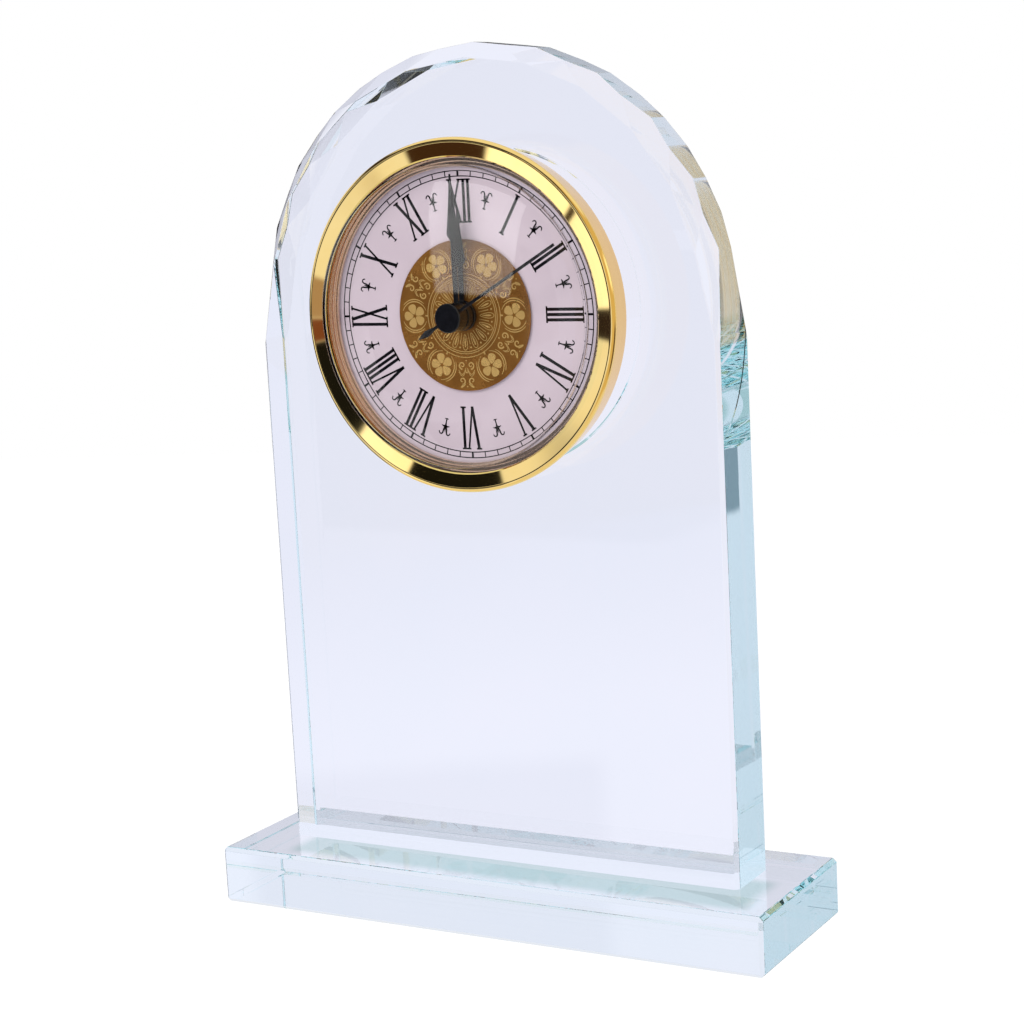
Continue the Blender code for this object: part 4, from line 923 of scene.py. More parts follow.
@dataclass
class CrystalStand(SubAssembly):
    """The base block and the slab on it, one clear body of glass where they are bonded."""

    base_size: Place = (160.0, 50.0, 15.5)
    half_width: float = 66.65
    thickness: float = 18.2
    arch_height: float = 160.7
    chamfer: float = 1.0
    polish: float = 0.14
    facets: int = 12
    overrun: float = 3.9
    edge_inset: float = 0.65
    face_inset: float = 4.45
    facet_depth: float = 3.7
    runout_angle: float = 11.6
    runout_inset: float = 3.25
    bore: float = 41.0
    bore_chamfer: float = 0.35
    bond: float = 0.1
    spare: float = 1.0
    sharp_angle: float = 8.0

    def facet(self, angle: float, radius: float, rim: float) -> list[Plane]:
        """The planes of one facet, at the front and at the back of the slab.

        A plane passes through the slab's face at its own radius and through the slab's rim at
        the rim radius, so its normal is outward times the facet's depth plus sideways times the
        difference of the two radii.

        Args:
            angle: the direction that it faces, in degrees up from the right.
            radius: its radius on the slab's face, about the arch's centre.
            rim: its radius at the facet's depth.

        Returns:
            (point, normal) pairs in millimetres.
        """
        middle = SLAB_FRONT + self.thickness / 2.0
        turn = math.radians(angle)
        outward = Vector((math.cos(turn), 0.0, math.sin(turn)))
        planes: list[Plane] = []
        for side in (-1.0, 1.0):
            face = Vector((0.0, middle + side * self.thickness / 2.0, self.arch_height))
            normal = outward * self.facet_depth + Vector((0.0, side * (rim - radius), 0.0))
            planes.append((face + outward * radius, normal.normalized()))
        return planes

    def cut_planes(self) -> list[Plane]:
        """The planes of the diamond cut: rim facets, face facets, corners and two run-outs.

        Returns:
            (point, normal) pairs in millimetres.
        """
        step = (180.0 + 2.0 * self.overrun) / self.facets
        half = math.radians(step / 2.0)
        edge, face = self.half_width - self.edge_inset, self.half_width - self.face_inset
        corner, seam = face / math.cos(half), edge * math.cos(half)
        runout = self.half_width - self.runout_inset
        ends = {0: self.runout_angle, self.facets - 1: 180.0 - self.runout_angle}
        planes: list[Plane] = []
        for index in range(self.facets):
            angle = -self.overrun + (index + 0.5) * step
            planes += self.facet(angle, edge, edge)
            if index in ends:
                planes += self.facet(ends[index], runout, edge)
            else:
                planes += self.facet(angle, face, edge)
        for index in range(1, self.facets):
            planes += self.facet(-self.overrun + index * step, corner, seam)
        return planes

    def block(self, name: str, low: Place, high: Place, planes: list[Plane],
              upright_only: bool) -> Object:
        """A chamfered glass block, ground to planes, with polished edges.

        Args:
            name: the block's name.
            low: its lowest corner in millimetres.
            high: its highest corner.
            planes: the planes that it is ground to.
            upright_only: whether only the upright edges are chamfered.

        Returns:
            The block.
        """
        work = bmesh.new()
        bmesh.ops.create_cube(work, size=1.0)
        bmesh.ops.scale(work, vec=Vector(high) - Vector(low), verts=work.verts)
        bmesh.ops.translate(work, vec=(Vector(high) + Vector(low)) / 2.0, verts=work.verts)
        edges = [edge for edge in work.edges
                 if not upright_only or abs((edge.verts[0].co - edge.verts[1].co).z) > self.chamfer]
        break_edges(work, edges, self.chamfer, 1)
        for point, normal in planes:
            geometry = work.verts[:] + work.edges[:] + work.faces[:]
            result = bmesh.ops.bisect_plane(work, geom=geometry, dist=1e-4, plane_co=point,
                                            plane_no=normal, clear_outer=True)
            rim = [item for item in result["geom_cut"] if isinstance(item, bmesh.types.BMEdge)]
            if rim:
                bmesh.ops.edgeloop_fill(work, edges=rim)
        break_edges(work, work.edges[:], self.polish)
        bmesh.ops.scale(work, vec=(MM, MM, MM), verts=work.verts)
        return worked(name, work)

    def build(self) -> None:
        """Make the stand."""
        width, depth, height = self.base_size
        spare, chamfer = self.spare, self.bore_chamfer
        stand = self.block("crystal_stand", (-width / 2.0, -depth / 2.0, 0.0),
                           (width / 2.0, depth / 2.0, height), [], False)
        slab = self.block("slab", (-self.half_width, SLAB_FRONT, height - self.polish - self.bond),
                          (self.half_width, SLAB_FRONT + self.thickness,
                           self.arch_height + self.half_width + spare), self.cut_planes(), True)
        wide = self.bore + chamfer
        profile = [(0.0, -spare), (wide + spare, -spare), (wide, 0.0), (self.bore, chamfer),
                   (self.bore, self.thickness - chamfer), (wide, self.thickness),
                   (wide + spare, self.thickness + spare), (0.0, self.thickness + spare)]
        bore = turned(np.array(profile), FINE_TURN_STEPS).piece("bore")
        combine(stand, [slab], "UNION", self.sharp_angle)
        combine(stand, [bore], "DIFFERENCE", self.sharp_angle)
        self.shop.take(stand, Slot.CRYSTAL, "stand", "glass_base", "glass_slab")


# Bezel, lens and reflector


@dataclass
class Bezel(SubAssembly):
    """The turned and gilded bezel: flared side, rounded edge, broad band and bevelled lip."""

    foot: float = 42.6
    foot_depth: float = -0.3
    foot_rounding: float = 0.15
    radius: float = 44.4
    depth: float = 10.3
    edge_rounding: float = 1.1
    edge_steps: int = 17
    band_angle: float = 10.0
    lip: float = 39.5
    lip_bevel: float = 0.3
    lip_roundings: Pair = (0.10, 0.06)
    pocket: Pair = (40.6, -9.1)
    rolled_lip: float = -1.8
    hold: float = 0.12
    side_hold: float = 0.02

    def build(self) -> None:
        """Make the bezel.

        The edge is an arc of points (centre + radius cos a, centre + radius sin a), from the
        side to the band, which then falls evenly inwards to the lip. A point just beyond each
        end of the arc holds the side and the band flat.
        """
        slope = math.tan(math.radians(self.band_angle))
        angle = np.radians(np.linspace(0.0, -90.0 - self.band_angle, self.edge_steps))
        edge = np.stack([self.radius + self.edge_rounding * (np.cos(angle) - 1.0),
                         -self.depth + self.edge_rounding * (np.sin(angle) + 1.0)], axis=-1)
        band = tuple(edge[-1])
        corner = self.lip + self.lip_bevel
        front = band[1] + (band[0] - corner) * slope
        inner = rounded([(*band, 0.0), (corner, front, self.lip_roundings[0]),
                         (self.lip, front + self.lip_bevel, self.lip_roundings[1]),
                         (self.lip, self.pocket[1], 0.0)], closed=False)[1:]
        back = rounded([(*self.pocket, 0.0), (self.pocket[0], self.rolled_lip, 0.0),
                        (self.lip, self.rolled_lip, 0.0), (self.lip, self.foot_depth, 0.0),
                        (self.foot, self.foot_depth, self.foot_rounding),
                        (self.radius - self.side_hold, edge[0, 1] + self.hold, 0.0)], closed=False)
        held = np.array([(band[0] - self.hold, band[1] + self.hold * slope)])
        profile = np.concatenate([edge, held, inner, back])
        self.shop.take(turned(profile, FINE_TURN_STEPS).piece("bezel_ring"), Slot.GILT, "insert", "bezel")


@dataclass
class Lens(SubAssembly):
    """The domed lens, a thin shell behind the bezel's lip."""

    flange: float = 40.3
    flange_front: float = -8.8
    flange_back: float = -7.8
    radius: float = 39.2
    wall: float = 1.0
    edge: float = -10.3
    apex: float = -16.7
    fullness: float = 3.0
    steps: int = 28

    def dome(self, radius: float, apex: float) -> np.ndarray:
        """One surface of the dome, from its edge to the axis.

        At share s of the radius its height is (1 - s^n)^(1/n) of the rise, with n the fullness.

        Args:
            radius: the dome's radius at its edge.
            apex: the depth of its top.

        Returns:
            An array (n, 2) of radius and depth.
        """
        share = np.cos(np.linspace(0.0, math.pi / 2.0, self.steps + 1))
        height = (1.0 - share ** self.fullness) ** (1.0 / self.fullness)
        points = np.stack([radius * share, self.edge + (apex - self.edge) * height], axis=-1)
        points[-1, 0] = 0.0
        return points

    def build(self) -> None:
        """Make the lens."""
        outer = self.dome(self.radius, self.apex)[::-1]
        inner = self.dome(self.radius - self.wall, self.apex + self.wall)
        flange = np.array([(self.radius, self.flange_front), (self.flange, self.flange_front),
                           (self.flange, self.flange_back), (self.radius - self.wall, self.flange_back)])
        profile = np.concatenate([outer, flange, inner])
        lens = turned(profile, FINE_TURN_STEPS).piece("domed_lens", 40.0)
        self.shop.take(lens, Slot.LENS, "insert", "lens")


@dataclass
class Reflector(SubAssembly):
    """The stepped champagne ring between the lens and the dial."""

    outer: float = 40.3
    inner: float = 37.4
    back: float = -5.5
    front: float = -7.5
    steps: int = 2
    rise: float = 0.6
    crest_rounding: float = 0.16
    root_rounding: float = 0.12

    def build(self) -> None:
        """Make the ring."""
        width = (self.outer - self.inner) / (self.steps + 1)
        corners = [(self.outer, self.back, 0.0), (self.outer, self.front, 0.0)]
        for index in range(self.steps):
            radius = self.outer - width * (index + 1)
            depth = self.front + self.rise * index
            corners += [(radius, depth, self.crest_rounding),
                        (radius, depth + self.rise, self.root_rounding)]
        corners += [(self.inner, self.front + self.rise * self.steps, self.crest_rounding),
                    (self.inner, self.back, 0.0)]
        ring = turned(rounded(corners), FINE_TURN_STEPS)
        self.shop.take(ring.piece("stepped_ring"), Slot.REFLECTOR, "insert", "reflector_ring")


# The dial


@dataclass
class LetterForm:
    """A letter laid out: strokes as (bottom, top, width), serif spans and the next letter's start."""

    strokes: list[Place]
    top: list[Pair]
    bottom: list[Pair]
    after: float


@dataclass
class Numerals:
    """Roman numerals with bars, joined serifs and radial placing, printed on the dial."""

    inner: float = 23.0
    height: float = 10.9
    bar: float = 0.78
    thin: float = 0.50
    pitch: float = 1.30
    five_width: float = 3.0
    five_foot: float = 0.52
    ten_width: float = 2.9
    slant_pitch: float = 0.9
    serif: float = 0.42
    overhang: float = 0.36
    texts: tuple[str, ...] = ("XII", "I", "II", "III", "IV", "V", "VI", "VII", "VIII", "IX", "X", "XI")

    def letter(self, letter: Letter, left: float) -> LetterForm:
        """Lay out one letter.

        Args:
            letter: the letter.
            left: where the middle of its first stroke stands.

        Returns:
            Its form.
        """
        heavy, light = self.bar / 2.0 + self.overhang, self.thin / 2.0 + self.overhang
        first = (left - heavy, left + heavy)
        if letter is Letter.ONE:
            return LetterForm([(left, left, self.bar)], [first], [first], left + self.pitch)
        if letter is Letter.FIVE:
            right, foot = left + self.five_width, left + self.five_width * self.five_foot
            strokes = [(foot, left, self.bar), (foot, right, self.thin)]
            bottom: list[Pair] = []
        else:
            right = left + self.ten_width
            strokes = [(right, left, self.bar), (left, right, self.thin)]
            bottom = [(left - light, left + light), (right - heavy, right + heavy)]
        top = [first, (right - light, right + light)]
        return LetterForm(strokes, top, bottom, right + self.pitch * self.slant_pitch)

    def line(self, start: Pair, end: Pair, width: float, angle: float) -> Shell:
        """One printed line of a numeral at a dial angle, with v upwards from the numeral's foot."""
        return printed(on_dial(np.array([start, end]), angle, self.inner), width)

    def numeral(self, text: str, angle: float) -> list[Shell]:
        """Draw one numeral.

        Args:
            text: its letters.
            angle: its dial angle.

        Returns:
            The shells of its strokes and serifs.
        """
        strokes: list[Place] = []
        top: list[Pair] = []
        bottom: list[Pair] = []
        left = 0.0
        for letter in text:
            form = self.letter(Letter(letter), left)
            strokes += form.strokes
            top += form.top
            bottom += form.bottom
            left = form.after
        edges = np.array(top + bottom)
        middle = float(edges.min() + edges.max()) / 2.0
        shells = [self.line((foot - middle, 0.0), (head - middle, self.height), width, angle)
                  for foot, head, width in strokes]
        for level, spans in ((self.height - self.serif / 2.0, top), (self.serif / 2.0, bottom)):
            shells += [self.line((start - middle, level), (end - middle, level), self.serif, angle)
                       for start, end in spans]
        return shells

    def shells(self) -> list[Shell]:
        """The shells of all twelve numerals."""
        return [shell for hour, text in enumerate(self.texts) for shell in self.numeral(text, 30.0 * hour)]


@dataclass
class MinuteTrack:
    """Two thin rings with a tick for each minute."""

    outer: float = 36.1
    inner: float = 34.6
    line: float = 0.27
    tick: float = 0.25
    hour_tick: float = 0.55

    def shells(self) -> list[Shell]:
        """The shells of the rings and ticks."""
        made = [ring_line(radius, self.line, PRINT_FRONT, PRINT_BACK)
                for radius in (self.outer, self.inner)]
        path = np.array([(0.0, 0.0), (0.0, self.outer - self.inner)])
        for minute in range(60):
            width = self.hour_tick if minute % 5 == 0 else self.tick
            made.append(printed(on_dial(path, 6.0 * minute, self.inner), width))
        return made


@dataclass
class Fleurs:
    """The small fleur between each pair of numerals: three curled sprays, a star and a foot."""

    radius: float = 27.0
    height: float = 4.5
    star: float = 0.46
    curl_steps: int = 9

    def drawing(self) -> list[tuple[np.ndarray, np.ndarray]]:
        """The strokes of one fleur.

        A side spray rises from the star and curls outwards over half an ellipse.

        Returns:
            (path, widths) pairs with v upwards from the foot.
        """
        middle = self.height * self.star
        stem = np.array([(0.0, 0.0), (0.0, middle * 0.6), (0.0, middle)])
        foot = np.array([(-0.52, 0.14), (0.0, 0.10), (0.52, 0.14)])
        bud = np.array([(0.0, middle), (0.06, middle + 0.8), (-0.05, middle + 1.5)])
        strokes = [(stem, np.array([0.34, 0.34, 0.62])), (foot, np.array([0.16, 0.32, 0.16])),
                   (bud, np.array([0.62, 0.34, 0.12]))]
        turn = np.radians(np.linspace(0.0, 175.0, self.curl_steps))
        curl = np.stack([1.05 - 0.55 * np.cos(turn), 1.45 + 0.75 * np.sin(turn)], axis=-1)
        for side in (-1.0, 1.0):
            spray = np.concatenate([[(0.0, 0.0), (0.28, 0.45), (0.44, 0.95)], curl])
            spray = spray * np.array([side, 1.0])
            strokes.append((spray + np.array([0.0, middle]), np.linspace(0.46, 0.26, len(spray))))
            point = np.array([(0.0, middle), (side * 0.6, middle + 0.05), (side * 1.15, middle - 0.12)])
            strokes.append((point, np.array([0.62, 0.44, 0.14])))
        return strokes

    def shells(self) -> list[Shell]:
        """The shells of the twelve fleurs."""
        return [printed(on_dial(path, 30.0 * hour + 15.0, self.radius), widths)
                for hour in range(12) for path, widths in self.drawing()]


@dataclass
class CentreDisc(SubAssembly):
    """The gilt disc with its embossed blossoms, scrolls, rings and sun rays."""

    radius: float = 19.0
    hole: float = 3.5
    roundings: Pair = (0.12, 0.06)
    front: float = GILT_DISC_FRONT
    back: float = -5.5
    relief: float = 0.05
    sink: float = 0.02
    blossoms: int = 6
    blossom_circle: float = 14.4
    blossom_size: float = 3.05
    blossom_eye: float = 0.4
    petals: int = 5
    petal_width: float = 2.1
    taper: float = 0.45
    arcs: tuple[Place, ...] = ((3.65, 22.0, 158.0), (4.2, 42.0, 132.0))
    curls: tuple[tuple[float, ...], ...] = ((12.5, 1.25, 1.0, 1.25), (16.4, 1.45, 1.0, -1.1))
    sweep_circle: float = 13.6
    sweep_lifts: Pair = (0.0, 0.45)
    sweep_width: float = 0.17
    leaf_circle: float = 17.2
    leaf_angle: float = 58.0
    dots: tuple[Pair, ...] = ((11.3, 0.42), (14.3, 0.5), (17.9, 0.36))
    line: float = 0.20
    rings: tuple[float, ...] = (9.1, 9.6, 10.5)
    rays: int = 16
    drop: Place = (4.7, 4.0, 1.25)
    drop_line: float = 0.17
    drop_core: Place = (5.3, 2.7, 0.42)
    spoke: Pair = (4.4, 2.9)
    ray_dot: Pair = (7.9, 0.5)

    def drawn(self, path: np.ndarray, widths: np.ndarray | float) -> Shell:
        """A raised stroke of the relief, along a path on the dial."""
        return ribbon(path, widths, self.front - self.relief, self.front + self.sink)

    def filled(self, outline: np.ndarray) -> Shell:
        """A raised flat patch of the relief, inside an outline on the dial."""
        return plate(outline, self.front - self.relief, self.front + self.sink)

    def oval(self, length: float, width: float, taper: float = 0.0, steps: int = 20) -> np.ndarray:
        """A petal outline.

        A point is (width / 2 sin t (1 + taper cos t), length / 2 (1 - cos t)).

        Args:
            length: its length along v.
            width: its width.
            taper: how much its far end is wider than its near end.
            steps: the points of its outline.

        Returns:
            An array (n, 2).
        """
        turn = np.linspace(0.0, 2.0 * math.pi, steps, endpoint=False)
        return np.stack([width / 2.0 * np.sin(turn) * (1.0 - taper * np.cos(turn)),
                         length / 2.0 * (1.0 - np.cos(turn))], axis=-1)

    def spun(self, points: np.ndarray, angle: float, centre: Pair = (0.0, 0.0)) -> np.ndarray:
        """Turn a drawing clockwise by an angle about its origin, and move that to a centre."""
        return on_dial(points, angle, 0.0) + np.array(centre)

    def spiral(self, start: float, end: float, turns: float, steps: int = 18) -> np.ndarray:
        """A spiral whose radius goes evenly from one value to another.

        Args:
            start: the first radius.
            end: the last radius.
            turns: how many turns it makes, negative to the left.
            steps: the points along it.

        Returns:
            An array (n, 2).
        """
        share = np.linspace(0.0, 1.0, steps)
        turn = 2.0 * math.pi * turns * share
        size = start + (end - start) * share
        return np.stack([size * np.sin(turn), size * np.cos(turn)], axis=-1)

    def blossom(self, angle: float) -> list[Shell]:
        """One blossom with its stem and the arcs round it.

        Args:
            angle: where it stands, clockwise from twelve, in degrees.

        Returns:
            Its shells.
        """
        place = on_dial(np.array([(0.0, 0.0)]), angle, self.blossom_circle)[0]
        eye = np.array([0.0, self.blossom_eye])
        petal = self.oval(self.blossom_size - self.blossom_eye, self.petal_width, self.taper) + eye
        made = [self.filled(self.spun(petal, angle + 360.0 * index / self.petals, place))
                for index in range(self.petals)]
        stem = np.array([(0.0, -3.15), (0.05, -3.4), (0.0, -3.8)])
        made.append(self.drawn(self.spun(stem, angle, place), np.array([0.42, 0.34, 0.5])))
        widths = 0.22 * np.sin(np.linspace(0.35, 2.9, 16)) + 0.06
        for side in (-1.0, 1.0):
            for size, first, last in self.arcs:
                turn = np.radians(np.linspace(first, last, len(widths)))
                arc = np.stack([side * size * np.sin(turn), size * np.cos(turn)], axis=-1)
                made.append(self.drawn(self.spun(arc, angle, place), widths))
        return made

    def scrolls(self, angle: float) -> list[Shell]:
        """The scrolls, leaves and dots between two blossoms.

        Args:
            angle: where they stand, clockwise from twelve, in degrees.

        Returns:
            Their shells.
        """
        made = []
        for side in (-1.0, 1.0):
            for radius, offset, size, turns in self.curls:
                curl = self.spiral(size, 0.16, side * turns) + np.array([side * offset, 0.0])
                made.append(self.drawn(on_dial(curl, angle, radius), np.linspace(0.42, 0.18, len(curl))))
            share = np.linspace(0.0, 1.0, 12)
            sweep = np.stack([side * (0.2 + 2.1 * share),
                              1.6 * np.sin(share * math.pi * 0.9) - 0.4], axis=-1)
            for lift in self.sweep_lifts:
                lifted = on_dial(sweep + np.array([0.0, lift]), angle, self.sweep_circle)
                made.append(self.drawn(lifted, self.sweep_width))
            leaf_shape = self.spun(self.oval(1.7, 0.55, 0.2), side * self.leaf_angle, (side * 0.5, 0.0))
            made.append(self.filled(on_dial(leaf_shape, angle, self.leaf_circle)))
        for radius, size in self.dots:
            dot = self.oval(size, size, 0.0, 14) - np.array([0.0, size / 2.0])
            made.append(self.filled(on_dial(dot, angle, radius)))
        return made

    def sun(self) -> list[Shell]:
        """The rings and the rays round the hands: outlined drops with thin spokes between.

        Returns:
            Their shells.
        """
        made = [ring_line(radius, self.line, self.front - self.relief, self.front + self.sink, TURN_STEPS)
                for radius in self.rings]
        drop = self.oval(self.drop[1], self.drop[2], self.taper, 24)
        closed = np.concatenate([drop, drop[:2]])
        core = self.oval(self.drop_core[1], self.drop_core[2], self.taper, 16)
        spoke = np.array([(0.0, 0.0), (0.0, self.spoke[1])])
        dot = self.oval(self.ray_dot[1], self.ray_dot[1], 0.0, 14)
        for index in range(self.rays):
            angle = 360.0 * index / self.rays
            between = angle + 180.0 / self.rays
            made.append(self.drawn(on_dial(closed, angle, self.drop[0]), self.drop_line))
            made.append(self.filled(on_dial(core, angle, self.drop_core[0])))
            made.append(self.drawn(on_dial(spoke, between, self.spoke[0]), np.array([0.10, 0.24])))
            made.append(self.filled(on_dial(dot, between, self.ray_dot[0])))
        return made

    def build(self) -> None:
        """Make the disc and the relief on it."""
        outer, inner = self.roundings
        profile = rounded([(self.radius, self.back, 0.0), (self.radius, self.front, outer),
                           (self.hole, self.front, inner), (self.hole, self.back, 0.0)], 3)
        disc = turned(profile, FINE_TURN_STEPS).piece("gilt_disc")
        self.shop.take(disc, Slot.GILT_PRINT, "insert", "dial_centre")
        shells = self.sun()
        for index in range(self.blossoms):
            angle = 360.0 * index / self.blossoms
            shells += self.blossom(angle + 180.0 / self.blossoms) + self.scrolls(angle)
        relief = Shell.joined(shells).piece("gilt_relief")
        self.shop.take(relief, Slot.GILT_PRINT, "insert")


@dataclass
class Dial(SubAssembly):
    """The lacquered dial plate with its printing and its gilt centre."""

    numerals: Numerals = field(default_factory=Numerals)
    track: MinuteTrack = field(default_factory=MinuteTrack)
    fleurs: Fleurs = field(default_factory=Fleurs)

    def build(self) -> None:
        """Make the print and the centre; the plate is the CAD node."""
        shells = self.numerals.shells() + self.track.shells() + self.fleurs.shells()
        self.shop.take(Shell.joined(shells).piece("dial_print"), Slot.HAND, "insert")
        CentreDisc(self.shop).build()


# The hands


@dataclass
class Hand(SubAssembly):
    """A hand: a bevelled blade on a stepped round hub."""

    name: str
    node: str
    body: str
    angle: float
    blade_front: float
    outline: list[Pair]
    hub: Place
    bore: float
    thickness: float = 0.35
    edge: float = 0.07
    rim: float = 0.18
    hub_steps: int = 96
    bore_steps: int = 64

    def blade(self) -> Object:
        """The blade, cut from a plate and with its edges broken.

        Its outline is the right side from the foot to the tip and its mirror image.

        Returns:
            The blade, pointing at the hand's angle.
        """
        side = np.array(self.outline, float)
        left = side[side[:, 0] > 1e-9][::-1] * np.array([-1.0, 1.0])
        flat = on_dial(np.concatenate([side, left]), self.angle, 0.0)
        work = bmesh.new()
        there = [Vector((x, depth, z)) for depth in (self.blade_front, self.blade_front + self.thickness)
                 for x, z in flat]
        moved = clock_to_world(np.array(there)) * MM
        verts = [work.verts.new(point) for point in moved]
        count = len(flat)
        front, back = verts[:count], verts[count:]
        caps = [work.faces.new(front), work.faces.new(back[::-1])]
        for index in range(count):
            after = (index + 1) % count
            work.faces.new((front[index], front[after], back[after], back[index]))
        bmesh.ops.recalc_face_normals(work, faces=work.faces)
        break_edges(work, list({edge for cap in caps for edge in cap.edges}), self.edge * MM)
        return worked(self.name, work)

    def build(self) -> None:
        """Make the hand."""
        radius, front, back = self.hub
        corners = [(radius, back, 0.0), (radius, front, self.rim)]
        if self.bore:
            profile = rounded(corners + [(self.bore, front, 0.0), (self.bore, back, 0.0)])
        else:
            profile = rounded([(0.0, back, 0.0)] + corners + [(0.0, front, 0.0)], closed=False)
        blade = self.blade()
        combine(blade, [turned(profile, self.hub_steps).piece("hub")], "UNION")
        if self.bore:
            combine(blade, [drill(self.bore, front - 1.0, back + 1.0, self.bore_steps)])
        self.shop.take(blade, Slot.HAND, self.body, self.node)


def leaf(length: float, neck: float, belly: float, width: float, stem: float = 1.4,
         tip: float = 0.4) -> list[Pair]:
    """The right side of a leaf hand, from its foot to its tip.

    The stem is straight, the shoulder is a half cosine and the blade a straight taper with a
    slight swelling.

    Args:
        length: from the axis to the tip.
        neck: where the shoulder starts.
        belly: where the blade is widest.
        width: the widest width.
        stem: the stem's width.
        tip: the tip's width.

    Returns:
        Points (half width, distance).
    """
    rise = np.linspace(0.0, 1.0, 9)
    swell = stem / 2.0 + (width - stem) / 2.0 * (1.0 - np.cos(rise * math.pi)) / 2.0
    shoulder = np.stack([swell, neck + (belly - neck) * rise], axis=-1)
    fall = np.linspace(0.0, 1.0, 12)[1:]
    taper = width / 2.0 * (1.0 - fall) ** 1.25 + tip / 2.0 * fall
    blade = np.stack([taper, belly + (length - belly) * fall], axis=-1)
    return [(stem / 2.0, 0.0)] + [tuple(point) for point in np.concatenate([shoulder, blade])]


@dataclass
class Hands(SubAssembly):
    """The three hands at twelve o'clock and ten seconds."""

    seconds_angle: float = 60.0

    def build(self) -> None:
        """Make the hour, minute and seconds hands."""
        needle = [(0.0, -11.0), (0.42, -9.6), (0.9, -7.9), (0.66, -6.4), (0.4, -5.2), (0.4, 20.0),
                  (0.36, 35.0)]
        hands = (
            Hand(self.shop, "hour_leaf", "hour_hand", "hours", 0.0, -6.6,
                 leaf(26.3, 12.2, 14.1, 3.0), (3.85, -6.85, -6.1), 2.3),
            Hand(self.shop, "minute_leaf", "minute_hand", "minutes", 0.0, -9.3,
                 leaf(35.25, 18.5, 20.6, 3.3), (3.7, -9.55, -7.45), 1.45),
            Hand(self.shop, "seconds_needle", "seconds_hand", "seconds", self.seconds_angle, -13.1, needle,
                 (3.7, -14.0, -10.15), 0.0, rim=0.3),
        )
        for hand in hands:
            hand.build()


# The back of the insert


@dataclass
class Case(SubAssembly):
    """The moulded case with the ribs and the ring on its web."""

    flange: float = 40.3
    radius: float = 39.2
    inner: float = 38.0
    rim_depth: float = -4.4
    flange_back: float = -2.1
    depth: float = 15.2
    web: Pair = (5.4, 6.6)
    window: float = 25.3
    screw_hole: float = 1.5
    ring: Pair = (26.8, 27.6)
    ring_height: float = 0.9
    ribs: int = 24
    rib_start: float = 27.4
    rib_size: float = 0.8
    screw_room: float = 8.0
    overlap: float = 0.1

    def build(self) -> None:
        """Make the case and what stands on its web."""
        start, end = self.web
        profile = rounded([(self.flange, self.rim_depth, 0.0), (self.flange, self.flange_back, 0.0),
                           (self.radius, self.flange_back, 0.0), (self.radius, self.depth, 0.35),
                           (self.inner, self.depth, 0.35), (self.inner, end, 0.3),
                           (self.window, end, 0.25), (self.window, start, 0.1),
                           (self.inner, start, 0.1), (self.inner, self.rim_depth, 0.0)])
        case = turned(profile).piece("moulded_case", 30.0)
        combine(case, [drill(self.screw_hole, start - 1.0, end + 1.0, 32, screw_place(angle))
                       for angle in SCREW_ANGLES])
        self.shop.take(case, Slot.CASE, "insert", "insert_case")
        self.stiffeners()

    def stiffeners(self) -> None:
        """The radial ribs and the raised ring on the back of the web."""
        web = self.web[1]
        made = [raised_ring(*self.ring, web - self.overlap, web + self.ring_height, 0.2)]
        path = np.array([(0.0, self.rib_start), (0.0, self.inner + 0.2)])
        for index in range(self.ribs):
            angle = 360.0 * (index + 0.5) / self.ribs
            if abs((angle + 60.0) % 120.0 - 60.0) >= self.screw_room:
                made.append(ribbon(on_dial(path, angle, 0.0), self.rib_size, web - self.overlap,
                                   web + self.rib_size))
        self.shop.take(Shell.joined(made).piece("case_ribs"), Slot.CASE, "insert")


@dataclass
class Gasket(SubAssembly):
    """The ribbed rubber sleeve round the case."""

    inner: float = 39.5
    body: float = 40.4
    crest: float = 40.7
    front: float = 1.2
    back: float = 10.8
    ribs: int = 3
    pitch: float = 3.2
    rise: float = 2.4

    def build(self) -> None:
        """Make the sleeve: each rib rises towards the back and falls in a step."""
        corners = [(self.inner, self.front, 0.0)]
        for index in range(self.ribs):
            start = self.front + self.pitch * index
            corners += [(self.body, start, 0.1), (self.crest, start + self.rise, 0.12),
                        (self.body, start + self.rise, 0.1)]
        corners += [(self.body, self.back, 0.1), (self.inner, self.back, 0.0)]
        sleeve = turned(rounded(corners, 3)).piece("ribbed_gasket")
        self.shop.take(sleeve, Slot.GASKET, "insert", "gasket")


